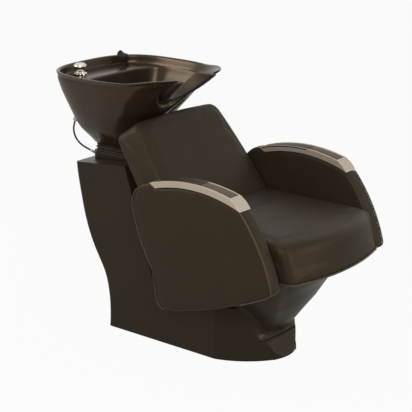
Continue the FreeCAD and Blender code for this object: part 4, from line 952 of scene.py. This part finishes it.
    def circle(self, around: np.ndarray, radius: float, height: float) -> np.ndarray:
        """Places a circle round the drain whose points face those of a ring.

        Args:
            around: the ring it faces.
            radius: the circle's radius.
            height: its height.

        Returns:
            An array of points.
        """
        angles = np.arctan2(around[:, 1] - self.drain[1], around[:, 0] - self.drain[0])
        return np.column_stack([self.drain[0] + radius * np.cos(angles),
                                self.drain[1] + radius * np.sin(angles), np.full(len(angles), height)])

    def outside(self, turns: np.ndarray, rim: np.ndarray) -> list[np.ndarray]:
        """Runs from under the drain to the foot, up the outer wall and over the rolled edge.

        Args:
            turns: angles round the bowl.
            rim: the rim's height at each angle.

        Returns:
            The rings in order.
        """
        foot = np.full(len(turns), self.foot_z)
        outlet = self.circle(self.plan(turns, foot, 0.0), self.drain_rings[-1][0], self.foot_z)
        rings = [outlet, self.plan(turns, foot, -6.0)]
        around = self.plan(turns, rim, 0.0)
        across = np.clip(np.abs(around[:, 0]) / (self.notch_half + self.chin_margin), 0, 1)
        weight = np.where(around[:, 1] < self.notch_rear_y, (1 - across ** 2) ** 0.7, 0.0)
        below, proud = np.array(self.chin, float).T
        stretch = (rim - self.edge_drop - self.foot_z) / (self.rim_z - self.edge_drop - self.foot_z)
        for height, outward in self.outer_rings:
            scaled = self.foot_z + (height - self.foot_z) * stretch
            chin = weight * np.interp(rim - scaled, below, proud)
            rings.append(self.plan(turns, scaled, outward + chin))
        for rise, outward in self.edge_rings:
            kept = max(0.0, min(1.0, (outward + self.edge_thick) / self.edge_thick))
            chin = weight * kept * float(np.interp(-rise, below, proud))
            rings.append(self.plan(turns, rim + rise, outward + chin))
        return rings

    def inside(self, turns: np.ndarray, rim: np.ndarray) -> list[np.ndarray]:
        """Runs down the inner wall, across the deck, down the well and into the drain.

        Args:
            turns: angles round the bowl.
            rim: the rim's height at each angle.

        Returns:
            The rings in order.
        """
        wall = -self.wall_thick
        edge, plain = rim - self.inner_drop, self.rim_z - self.inner_drop

        def level(height: float) -> np.ndarray:
            """Scales a height below the rim to each column's own drop."""
            return edge - (plain - height) * (edge - self.floor_z) / (plain - self.floor_z)

        rings = [self.plan(turns, level(height), wall + outward) for height, outward in self.inner_rings]
        for height, share in self.deck_rings:
            outer = self.plan(turns, level(height), wall - 1.0)
            inner = self.plan(turns, level(height), wall - 1.0, self.deck_y)
            rings.append(outer + (inner - outer) * share)
        for height, limit, outward in self.well_rings:
            rings.append(self.plan(turns, level(height), wall + outward, limit))
        # this ring only says which way the drain's circles face
        floor = self.plan(turns, np.full(len(turns), self.floor_z + 0.5), wall - 50, 470.0)
        wide = self.circle(floor, self.floor_radius, self.floor_z + 0.3)
        rings.append(rings[-1] * [0.5, 0.5, 0] + wide * [0.5, 0.5, 0] + [0, 0, self.floor_z + 0.6])
        rings.append(wide)
        return rings + [self.circle(floor, radius, height) for radius, height in self.drain_rings]

    def build(self) -> None:
        """Skins the bowl and hands it to the tilting body."""
        turns = self.turns()
        rim = self.rim_heights(turns)
        rings = self.outside(turns, rim) + self.inside(turns, rim)
        bowl = loft("basin_glazed_bowl", rings, GLAZED_CHINA, capped=False, joined=True)
        subdivide(bowl, 2)
        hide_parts("basin_bowl")
        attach(bowl, "basin")
        LOG.info("basin skinned with %d rings", len(rings))


@dataclass
class NeckRest:
    """The gel pad clipped into the basin's notch: half an ellipse that slopes with the bowl."""

    half: float = 99.5
    depth: float = 101.5
    top_z: float = 926.0
    high_z: float = 912.5
    slope: float = 43.0
    anchor: tuple[float, float] = (226.0, 806.0)
    # how far the pad's arms widen inwards and reach forward, and how late they do so
    arm_growth: float = 17.0
    arm_reach: float = 22.0
    arm_power: float = 1.5
    # across the pad and along the slope, once round its section
    section: tuple = ((6.2, -19), (5.8, -26), (2.6, -29.6), (-2.6, -29.6), (-6.2, -25), (-7.6, -12),
                      (-8.2, 0), (-7.6, 12), (-6.2, 25), (-2.6, 29.6), (2.6, 29.6), (5.8, 26), (6.2, 19),
                      (6.2, 0))
    # the rounded ends: angle before the first full section, and size there
    ends: tuple = ((0.035, 0.12), (0.03, 0.62), (0.012, 0.9))

    def build(self) -> None:
        """Sweeps the section round the notch."""
        first = math.asin((self.top_z - self.high_z) / self.depth)
        rings = []
        ends = [(first - before, size) for before, size in self.ends]
        stations = [*ends, *[(turn, 1.0) for turn in np.linspace(first, math.pi - first, 40)],
                    *[(math.pi - turn, size) for turn, size in reversed(ends)]]
        for turn, size in stations:
            ring = []
            late = abs(math.cos(turn)) ** self.arm_power
            inward, forward = self.arm_growth * late, self.arm_reach * late
            for across, along in self.section:
                across = across * size - (inward if across < 0 else 0.0)
                along = along * (0.5 + 0.5 * size) - (forward if along < 0 else 0.0)
                x = (self.half + across) * math.cos(turn)
                z = self.top_z - (self.depth + across) * math.sin(turn)
                y = self.anchor[0] - (z - self.anchor[1]) / math.tan(math.radians(self.slope)) + along
                ring.append((x, y, z))
            rings.append(np.array(ring))
        pad = loft("neck_rest_pad", rings, GEL_RUBBER)
        subdivide(pad, 2)
        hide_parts("neck_rest")
        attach(pad, "basin")
        LOG.info("neck rest swept")


@dataclass
class Backrest:
    """The reclined back cushion, drawn tight over its board."""

    foot: tuple[float, float, float] = (0.0, -22.5, 364.8)
    recline: float = 53.53
    length: float = 453.0
    low_half: float = 264.0
    high_half: float = 224.0
    crown: float = 3.0
    held_below: float = 24.0
    # height off the board's rear face, how far drawn in, corner reach, swelling of the sides
    layers: tuple = ((-3.0, 9, 26, 3), (-1.5, 4, 26, 4), (4, 2.6, 26, 5), (12, 2.5, 26, 5), (24, 2.5, 28, 6),
                     (46, 2.5, 32, 7), (78, 2.5, 34, 7), (92, 4, 35, 7), (101, 9, 37, 7), (106.5, 17, 40, 7),
                     (109, 30, 46, 7))

    def build(self) -> None:
        """Lofts the cushion, fills it and stands it up."""
        stack = []
        for height, inset, reach, bulge in self.layers:
            low, high = self.half_at(inset) - inset, self.half_at(self.length - inset) - inset
            corners = symmetric_quad(low, high, inset, self.length - inset)
            stack.append((height, swollen_outline(corners, reach, (min(bulge, 3), bulge, bulge, bulge))))
        cushion = loft("backrest_padding", padded_rings(stack, self.crown), VINYL)
        Stuffing().fill(cushion, lambda points: points[:, 2] < self.held_below)
        lean = Matrix.Rotation(math.radians(self.recline), 4, "X")
        cushion.matrix_world = Matrix.Translation(Vector(self.foot) * MM) @ lean
        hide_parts("backrest_cushion")
        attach(cushion, "root")

    def half_at(self, along: float) -> float:
        """Gives the half width at a distance up the board."""
        return self.low_half - (self.low_half - self.high_half) * along / self.length


@dataclass
class Seat:
    """The seat cushion with its bowed, leaning front, its cover drawn under the board, and its piping."""

    low_half: float = 248.0
    half: float = 264.0
    rear_y: float = 16.0
    front_y: float = -534.0
    low_bow: float = 31.0
    bow: float = 61.0
    low_z: float = 362.0
    crease_z: float = 494.0
    lean: float = 41.0
    # height, how far drawn in, corner reach, loss of bow
    layers: tuple = ((362.2, 6, 24, 0), (365, 2.2, 26, 0), (372, 1.4, 28, 0), (400, 1.2, 30, 0),
                     (440, 1.2, 30, 1), (466, 1.5, 30, 2), (480, 4, 31, 3), (489, 10, 34, 5),
                     (495, 21, 40, 8), (499, 40, 46, 12), (501.5, 70, 50, 16))
    crown: float = 3.0
    # below this height and behind this Y the cover is held on its board
    held_below: float = 372.0
    held_behind: float = -190.0
    # height and growth of the cover's run round the board
    board_wrap: tuple = ((341.6, -6.0), (342.2, 2.6), (350, 4.0), (359, 4.2))
    board_half: float = 238.0
    board_front_y: float = -472.0
    board_rear_y: float = -8.0
    # the back cushion's face: a point on it in Y and Z, its run per millimetre of height, and the gap
    back_at: tuple[float, float] = (27.0, 620.0)
    back_slope: float = 0.739
    back_gap: float = 2.0
    piping_z: float = 366.0
    piping_radius: float = 3.2
    piping_end_y: float = -330.0
    # points of the outline on each side of its start that can carry piping
    piping_points: int = 46

    def outline(self, height: float, inset: float, reach: float, loss: float) -> np.ndarray:
        """Draws the cushion's outline at a height.

        Args:
            height: the height.
            inset: how far drawn in.
            reach: the corners' reach.
            loss: how much flatter the front is than the plain cushion's.

        Returns:
            The outline.
        """
        rise = (height - self.low_z) / (self.crease_z - self.low_z)
        front = self.front_y + self.lean * rise + inset
        half = min(self.low_half + (self.half - self.low_half) * rise, self.half) - inset
        bow = self.low_bow + (self.bow - self.low_bow) * min(rise, 1.0) - loss
        return swollen_outline(symmetric_quad(half, half, front, self.rear_y - inset), reach,
                               (bow, 0.6, 0.6, 0.6), per_side=28)

    def wrap(self, grown: float) -> np.ndarray:
        """Draws the board's outline, a little larger."""
        corners = symmetric_quad(self.board_half + grown, self.board_half + grown,
                                 self.board_front_y - grown, self.board_rear_y + grown)
        return swollen_outline(corners, 24.0, (self.low_bow, 0.6, 0.6, 0.6), per_side=28)

    def build(self) -> None:
        """Lofts the cushion, trims its rear along the back, fills it and adds the piping."""
        stack = [(height, self.wrap(grown)) for height, grown in self.board_wrap]
        stack += [(layer[0], self.outline(*layer)) for layer in self.layers]
        rings = padded_rings(stack, self.crown)
        for ring in rings:
            limit = self.back_at[0] + self.back_slope * (ring[:, 2] - self.back_at[1]) - self.back_gap
            ring[:, 1] = np.minimum(ring[:, 1], limit)
        cushion = loft("seat_padding", rings, VINYL)
        Stuffing().fill(cushion, lambda points: (points[:, 2] < self.held_below)
                        | (points[:, 1] > self.held_behind))
        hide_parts("seat_cushion")
        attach(cushion, "root")
        line = self.outline(self.piping_z, 1.0, 27.0, 0.0)
        front_and_corners = np.concatenate([line[-self.piping_points:], line[:self.piping_points]])
        points = [(x, y, self.piping_z) for x, y in front_and_corners if y < self.piping_end_y]
        # the piping's lightened vinyl is a painted highlight along the seat's front edge
        piping = bead("seat_front_piping", points, self.piping_radius, PIPING_VINYL_PAINTED_HIGHLIGHT, "root")
        LOG.info("seat padded and piped")


class Side(Enum):
    """The sitter's hand on which an armrest stands."""

    RIGHT = -1
    LEFT = 1


class PipingRun(Enum):
    """The two stretches of an arm's outer edge that carry piping."""

    REAR = "rear"
    FRONT = "front"


@dataclass
class Armrest:
    """One D-shaped upholstered side with its piping."""

    side: Side
    inner_x: float = 271.0
    # the outline in side view: a point, or two for an arc through the first
    outline_steps: tuple = (((-185, 637), (-25, 615)), ((1, 629),), ((62, 598), (81, 546)),
                            ((52, 440), (-5, 332)), ((-22, 232),), ((-31, 208), (-57, 198)), ((-92, 198),),
                            ((-292, 256), (-489, 340)), ((-503, 353),), ((-465, 462), (-375, 600)))
    start: tuple[float, float] = (-375, 600)
    centre: tuple[float, float] = (-205.0, 425.0)
    # distance from the inner face, how far drawn in
    layers: tuple = ((0.6, 9), (2.5, 4), (6, 1.2), (14, 0.4), (44, 0.4), (51, 1.2), (55, 3.6), (57.4, 8))
    cap_shares: tuple = (0.06, 0.4, 0.72, 0.92)
    dome: float = 1.2
    held_within: float = 6.0
    # the piping: distance from the inner face, how far drawn in, and radius
    piping_at: tuple[float, float] = (55.0, 2.2)
    piping_radius: float = 2.4

    def outline(self) -> np.ndarray:
        """Walks round the side view at even steps.

        Returns:
            Points in Y and Z.
        """
        here = np.array(self.start, float)
        runs = []
        for step in self.outline_steps:
            end = np.array(step[-1], float)
            middle = np.array(step[0], float) if len(step) == 2 else (here + end) / 2
            runs.append(arc_through(here, middle, end, 40))
            here = end
        raw = np.concatenate(runs)
        closed = np.vstack([raw, raw[:1]])
        walked = np.concatenate([[0], np.cumsum(np.linalg.norm(np.diff(closed, axis=0), axis=1))])
        even = np.linspace(0, walked[-1], 181)[:-1]
        line = np.column_stack([np.interp(even, walked, closed[:, axis]) for axis in (0, 1)])
        for _ in range(2):
            line = 0.5 * line + 0.25 * (np.roll(line, 1, axis=0) + np.roll(line, -1, axis=0))
        return line

    def drawn_in(self, line: np.ndarray, inset: float) -> np.ndarray:
        """Moves an outline inwards along its normals.

        Args:
            line: the outline.
            inset: how far.

        Returns:
            The smaller outline.
        """
        along = np.roll(line, -1, axis=0) - np.roll(line, 1, axis=0)
        normal = np.column_stack([along[:, 1], -along[:, 0]]) / np.linalg.norm(along, axis=1, keepdims=True)
        if np.mean(np.sum(normal * (line - self.centre), axis=1)) > 0:
            normal = -normal
        return line + normal * inset

    def at(self, distance: float, line: np.ndarray) -> np.ndarray:
        """Stands an outline at a distance from the arm's inner face."""
        x = self.side.value * (self.inner_x + distance)
        return np.column_stack([np.full(len(line), x), line])

    def caps(self, ring: np.ndarray, distance: float, dome: float) -> list[np.ndarray]:
        """Closes a face with rings that grow from its middle.

        Args:
            ring: the face's edge.
            distance: how far the face lies from the arm's inner face.
            dome: how far its middle stands out.

        Returns:
            The rings from the middle outwards.
        """
        centre = np.array([0.0, *self.centre])
        rings = []
        for share in self.cap_shares:
            shrunk = centre + (ring - centre) * share
            shrunk[:, 0] = self.side.value * (self.inner_x + distance + dome * (1 - share ** 2))
            rings.append(shrunk)
        return rings

    def build(self) -> None:
        """Makes the padded side and its piping."""
        hand = self.side.name.lower()
        line = self.outline()
        body = [self.at(distance, self.drawn_in(line, inset)) for distance, inset in self.layers]
        inner = self.caps(body[0], self.layers[0][0], 0.0)
        outer = self.caps(body[-1], self.layers[-1][0], self.dome)
        panel = loft(hand + "_arm_padding", inner + body + outer[::-1], VINYL)
        Stuffing(voxel_mm=5.5, most_mm=1.5, sink_mm=0.2).fill(
            panel, lambda points: np.abs(points[:, 0]) < self.inner_x + self.held_within)
        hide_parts(hand + "_arm_panel")
        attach(panel, "root")
        distance, inset = self.piping_at
        edge = self.at(distance, self.drawn_in(line, inset))
        for part in PipingRun:
            # the piping's lightened vinyl is a painted highlight along the arm's outer edge
            piping = bead("%s_arm_%s_piping" % (hand, part.value), self.stretch(edge, part),
                          self.piping_radius, PIPING_VINYL_PAINTED_HIGHLIGHT, "root")

    @staticmethod
    def stretch(edge: np.ndarray, part: PipingRun) -> np.ndarray:
        """Picks the run of the edge that carries piping.

        Args:
            edge: the whole edge.
            part: which run.

        Returns:
            Points in order.
        """
        if part is PipingRun.REAR:
            keep = (edge[:, 1] > -60.0) & (edge[:, 2] < 606.0)
        else:
            keep = (edge[:, 1] < -370.0) & (edge[:, 2] < 598.0)
        numbers = np.nonzero(keep)[0]
        split = np.nonzero(np.diff(numbers) > 1)[0]
        if len(split):
            numbers = np.concatenate([numbers[split[0] + 1:], numbers[:split[0] + 1]])
        return edge[numbers]


@dataclass
class ArmPad:
    """The soft grey pad in the front of an arm's cap, and the strip of vinyl that runs on behind it."""

    side: Side
    pad_sides: tuple[float, float] = (278.6, 318.4)
    strip_sides: tuple[float, float] = (270.2, 320.4)
    # the cap's crown in side view, as three points of its arc
    crown: tuple = ((-337, 636), (-172, 658), (1, 629))
    front_y: float = -329.0
    split_y: float = -208.0
    rear_y: float = -12.0
    depth: float = 9.6
    gap: float = 3.0
    fill: float = 0.95
    # the rounded front end, mirrored at the rear: share of the way along, and size there
    ends: tuple = ((0.0, 0.86), (0.004, 0.95), (0.012, 1.0))
    # once over the padding: across in shares of half its width, up in shares of its depth
    profile: tuple = ((-1, -1), (-1, -0.2), (-0.97, 0.0), (-0.85, 0.13), (-0.5, 0.17), (0, 0.18),
                      (0.5, 0.17), (0.85, 0.13), (0.97, 0.0), (1, -0.2), (1, -1))
    sunk: float = 0.6

    def build(self) -> None:
        """Sets the pad and the strip into the cap."""
        hand = self.side.name.lower()
        before, behind = self.split_y - self.gap / 2, self.split_y + self.gap / 2
        pad = self.run(hand + "_arm_soft_pad", self.pad_sides, self.front_y, before, FOAM_SKIN)
        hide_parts(hand + "_arm_pad")
        strip = self.run(hand + "_arm_top_strip", self.strip_sides, behind, self.rear_y, VINYL)
        for piece in (pad, strip):
            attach(piece, "root")
        LOG.info("%s arm pad set", hand)

    def run(self, name: str, sides: tuple[float, float], front_y: float, rear_y: float,
            finish: Finish) -> bpy.types.Object:
        """Lofts one stretch of padding along the crown.

        Args:
            name: the piece's name.
            sides: its inner and outer distance from the chair's middle.
            front_y: where it starts.
            rear_y: where it ends.
            finish: the surface.

        Returns:
            The new object.
        """
        arc = arc_through(*[np.array(p, float) for p in self.crown], 200)
        stations = [*self.ends, *[(share, 1.0) for share in np.linspace(0.03, 0.97, 40)],
                    *[(1.0 - share, size) for share, size in reversed(self.ends)]]
        half = (sides[1] - sides[0]) / 2
        middle = (sides[1] + sides[0]) / 2
        rings = []
        for share, size in stations:
            y = front_y + (rear_y - front_y) * share
            top = float(np.interp(y, arc[:, 0], arc[:, 1]))
            ring = []
            for across, up in self.profile:
                lift = self.depth * up if up < 0 else self.depth * up * size
                x = middle + half * across * (0.985 + 0.015 * size)
                ring.append((self.side.value * x, y, top - self.sunk + lift))
            rings.append(np.array(ring[::self.side.value]))
        return subdivide(loft(name, rings, finish), 1)


@dataclass
class BellyHull:
    """The moulded hull under the seat: it grows out of the base's toe and hides the step behind it."""

    # height, half width, front, corner reach, bow, as in the hull's solid
    rows: tuple = ((72, 72, -284, 32, 12), (100, 84, -304, 36, 13), (126, 96, -326, 40, 14),
                   (150, 112, -342, 46, 16), (200, 150, -374, 60, 16), (262, 198, -404, 80, 20),
                   (338, 238, -438, 90, 50))
    rear_y: float = 60.0
    middle_y: float = -100.0
    # the base's plan from its side to the tip of its toe, with the middle of each arc
    base_side: tuple[float, float] = (183, -159)
    base_mid: tuple[float, float] = (138, -251)
    toe_side: tuple[float, float] = (57, -326)
    toe_mid: tuple[float, float] = (0, -335)
    # behind the toe: the shelf's height and front, and the step's face over it
    shelf_z: float = 72.0
    shelf_front_y: float = -303.0
    step_top_z: float = 190.0
    step_y: tuple[float, float] = (-288.0, -264.0)
    # over the step the base's outline shrinks to this share within this height
    fade: tuple[float, float] = (22.0, 0.72)
    # how far the base's outline stands out, by angle from the front
    proud_turns: tuple = (0.0, 1.0, 1.25, 3.2)
    proud: tuple = (1.4, 1.2, -2.0, -2.0)
    skirt: float = 36.0
    sharpness: float = 26.0
    levels: tuple = (72.3, 74, 77, 81, 86, 92, 99, 108, 118, 128, 139, 150, 162, 174, 183, 190, 195, 200,
                     206, 214, 226, 242, 262, 284, 308, 328, 338)
    rib_x: float = 60.0
    rib_radius: float = 5.5
    rib_path: tuple = ((-321.5, 0.5), (-321.5, 12), (-320, 28), (-312.5, 44), (-305, 58), (-301, 66))

    def reach(self, outline: np.ndarray, turns: np.ndarray) -> np.ndarray:
        """Measures how far an outline lies from the hull's axis in each direction.

        Args:
            outline: points of its right half, from the front round to the rear.
            turns: directions, 0 at the front and half a turn at the rear.

        Returns:
            The distances.
        """
        across, along = outline[:, 0], self.middle_y - outline[:, 1]
        angles = np.arctan2(across, along)
        order = np.argsort(angles)
        return np.interp(turns, angles[order], np.hypot(across, along)[order])

    def base_reach(self, height: float, turns: np.ndarray, front_y: float) -> np.ndarray:
        """Measures the base's own outline, a little proud in front and sunk at its sides.

        Args:
            height: the height.
            turns: directions, 0 at the front.
            front_y: the outline's foremost line there.

        Returns:
            Its distances from the hull's axis.
        """
        corner, middle, side, tip = (np.array(spot, float) for spot in (self.toe_side, self.base_mid,
                                                                        self.base_side, self.toe_mid))
        toe = arc_through(tip, (tip + corner) / 2 + [1, -2], corner, 12)
        taper = arc_through(corner, middle, side, 30)
        rear = np.array([(181.0, -150.0), (180.0, -100.0), (90.0, -60.0), (0.0, -50.0)])
        outline = np.concatenate([toe, taper, rear])
        outline[:, 1] = np.maximum(outline[:, 1], front_y)
        proud = np.interp(turns, self.proud_turns, self.proud)
        shrunk = np.interp(height, (self.step_top_z, self.step_top_z + self.fade[0]), (1.0, self.fade[1]))
        return (self.reach(outline, turns) + proud) * shrunk

    def ring(self, height: float) -> np.ndarray:
        """Draws the hull at one height.

        Args:
            height: the height.

        Returns:
            The closed ring of points.
        """
        table = np.array(self.rows, float)
        half, front, corner, bow = (np.interp(height, table[:, 0], column) for column in table[:, 1:].T)
        outline = swollen_outline(symmetric_quad(half, half, front, self.rear_y), corner,
                                  (bow, 2, 2, 2), 40, 14)
        turns = np.linspace(0, math.pi, 65)
        belly = self.reach(outline[outline[:, 0] > -1e-6], turns)
        step = float(np.interp(height, (self.shelf_z, self.step_top_z), self.step_y))
        base = self.base_reach(height, turns, step)
        merged = (belly ** self.sharpness + base ** self.sharpness) ** (1 / self.sharpness)
        toe = self.base_reach(height, turns, self.shelf_front_y)
        near = max(0.0, 1.0 - (height - self.shelf_z) / self.skirt) ** 2
        merged = merged + np.maximum(toe - merged, 0.0) * near
        right = np.column_stack([merged * np.sin(turns), self.middle_y - merged * np.cos(turns)])
        closed = np.concatenate([right, (right * [-1, 1])[1:-1][::-1]])
        return np.column_stack([closed, np.full(len(closed), height)])

    def build(self) -> None:
        """Lofts the hull and adds the toe's two ribs."""
        hull = loft("belly_hull", [self.ring(height) for height in self.levels], GELCOAT)
        subdivide(hull, 1)
        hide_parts("belly_shell")
        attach(hull, "root")
        for hand, sign in (("right", -1), ("left", 1)):
            path = [(sign * self.rib_x, y, z) for y, z in self.rib_path]
            rib = bead(hand + "_toe_rib", path, self.rib_radius, GELCOAT, "root")
        LOG.info("belly hull moulded")


@dataclass
class NeckGaiter:
    """The rubber bellows between the collar and the basin's foot, which gives as the basin tilts."""

    half: float = 109.0
    front_y: float = 262.0
    rear_y: float = 459.0
    corner: float = 35.0
    middle_y: float = 345.0
    inner_share: float = 0.965
    # height, how far the fold stands out
    folds: tuple = ((619.5, -3), (621.5, 0.5), (624, 1.5), (627, -0.5), (629.5, -2.0), (632, 0.5),
                    (634.5, 4.0), (637, 0.5), (639.5, -2.0), (642, -0.5), (645, 1.5), (647.6, 0.0))

    def build(self) -> None:
        """Lofts the bellows."""
        rings = []
        for height, out in self.folds:
            corners = symmetric_quad(self.half + out, self.half + out, self.front_y - out, self.rear_y + out)
            outline = swollen_outline(corners, self.corner, (1, 1, 1, 1))
            rings.append(np.column_stack([outline, np.full(len(outline), height)]))
        middle = np.array([0.0, self.middle_y])
        inner = [np.column_stack([(ring[:, :2] - middle) * self.inner_share + middle, ring[:, 2]])
                 for ring in reversed(rings)]
        gaiter = loft("neck_bellows", rings + inner, EPDM_RUBBER, capped=False, joined=True)
        subdivide(gaiter, 1)
        settle(gaiter)
        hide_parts("neck_gaiter")
        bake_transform(gaiter)
        LOG.info("gaiter folded")


@dataclass
class DrainHose:
    """The corrugated hose from the drain's tail down to the trap."""

    at: tuple[float, float] = (0.0, 395.0)
    low_z: float = 480.5
    high_z: float = 611.5
    radius: float = 15.0
    wall: float = 2.0
    groove: float = 1.8
    pitch: float = 6.0
    sides: int = 32

    def build(self) -> None:
        """Turns the hose."""
        steps = int((self.high_z - self.low_z) / self.pitch * 4)
        angles = np.linspace(0, 2 * math.pi, self.sides + 1)[:-1]
        shell = []
        for inward in (0.0, self.wall):
            rings = []
            for step in range(steps + 1):
                height = self.low_z + (self.high_z - self.low_z) * step / steps
                radius = self.radius - inward - self.groove * (0.5 + 0.5 * math.cos(math.pi / 2 * step))
                rings.append(np.column_stack([self.at[0] + radius * np.cos(angles),
                                              self.at[1] + radius * np.sin(angles),
                                              np.full(self.sides, height)]))
            shell.append(rings)
        hose = loft("drain_hose", shell[0] + shell[1][::-1], EPDM_RUBBER, capped=False, joined=True)
        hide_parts("waste_hose")
        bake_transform(hose)
        LOG.info("drain hose turned")


@dataclass
class CarriedNodes:
    """Frame nodes whose shape stands: each gets its finish and, where it shows, eased edges."""

    # finish, edge radius in millimetres, nodes
    groups: tuple = (
        (GELCOAT, 4.0, ("base_shell",)),
        (GELCOAT, 0.0, ("rear_access_cover",)),
        (ANODISED, 1.0, ("left_arm_trim", "right_arm_trim")),
        (TEXTURED_ABS, 1.5, ("neck_collar",)),
        (TEXTURED_ABS, 0.0, ("handset_holder", "spray_handset")),
        (CHROME, 0.6, ("mixer_lever", "mixer_turret", "mixer_body", "waste_fitting", "hair_strainer")),
        (CHROME, 0.4, ("hose_gland", "hose_fitting")),
        (POWDER_COAT, 0.0, ("base_plate", "frame_post", "seat_column", "seat_rails", "arm_crossbars",
                            "backrest_bracket", "pivot_bracket", "bowl_carrier")),
        (ZINC_PLATE, 0.0, ("cover_screws", "backrest_bolts", "arm_bolts", "bracket_bolts", "carrier_bolts",
                           "pivot_pin", "mixer_pin", "stop_valves")),
        (FRICTION_LINING, 0.0, ("friction_discs",)),
        (PLYWOOD, 0.0, ("seat_board", "backrest_board")),
        (POLYPROPYLENE, 0.0, ("waste_trap", "waste_pipe")),
    )

    def dress(self, nodes: dict[str, bpy.types.Object]) -> None:
        """Gives every carried node its material and rounding.

        Args:
            nodes: the frame's nodes by name.
        """
        for finish, radius, names in self.groups:
            for name in names:
                node = nodes[name]
                node.data.materials.clear()
                node.data.materials.append(finish.material())
                if radius:
                    self.ease(node, radius)
        LOG.info("frame nodes dressed")

    @staticmethod
    def ease(node: bpy.types.Object, radius: float) -> None:
        """Rounds a node's sharp edges without touching its mesh.

        Args:
            node: the frame's node.
            radius: the rounding in millimetres.
        """
        weld = node.modifiers.new("joined_edges", "WELD")
        weld.merge_threshold = 0.00002
        rounding = node.modifiers.new("eased_edges", "BEVEL")
        rounding.width = radius * MM
        rounding.segments = 3
        rounding.limit_method = "ANGLE"
        rounding.angle_limit = math.radians(30)
        rounding.harden_normals = False


def main() -> None:
    """Builds the dressed part in order and reports each piece."""
    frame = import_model()
    bpy.context.scene.view_settings.view_transform = "Standard"
    Studio().build()
    ShowerHose().build()
    WashBasin().build()
    NeckRest().build()
    Backrest().build()
    Seat().build()
    for side in Side:
        Armrest(side).build()
        ArmPad(side).build()
    BellyHull().build()
    NeckGaiter().build()
    DrainHose().build()
    CarriedNodes().dress(frame["nodes"])


if __name__ == "__main__":
    logging.basicConfig(level=logging.INFO)
    main()
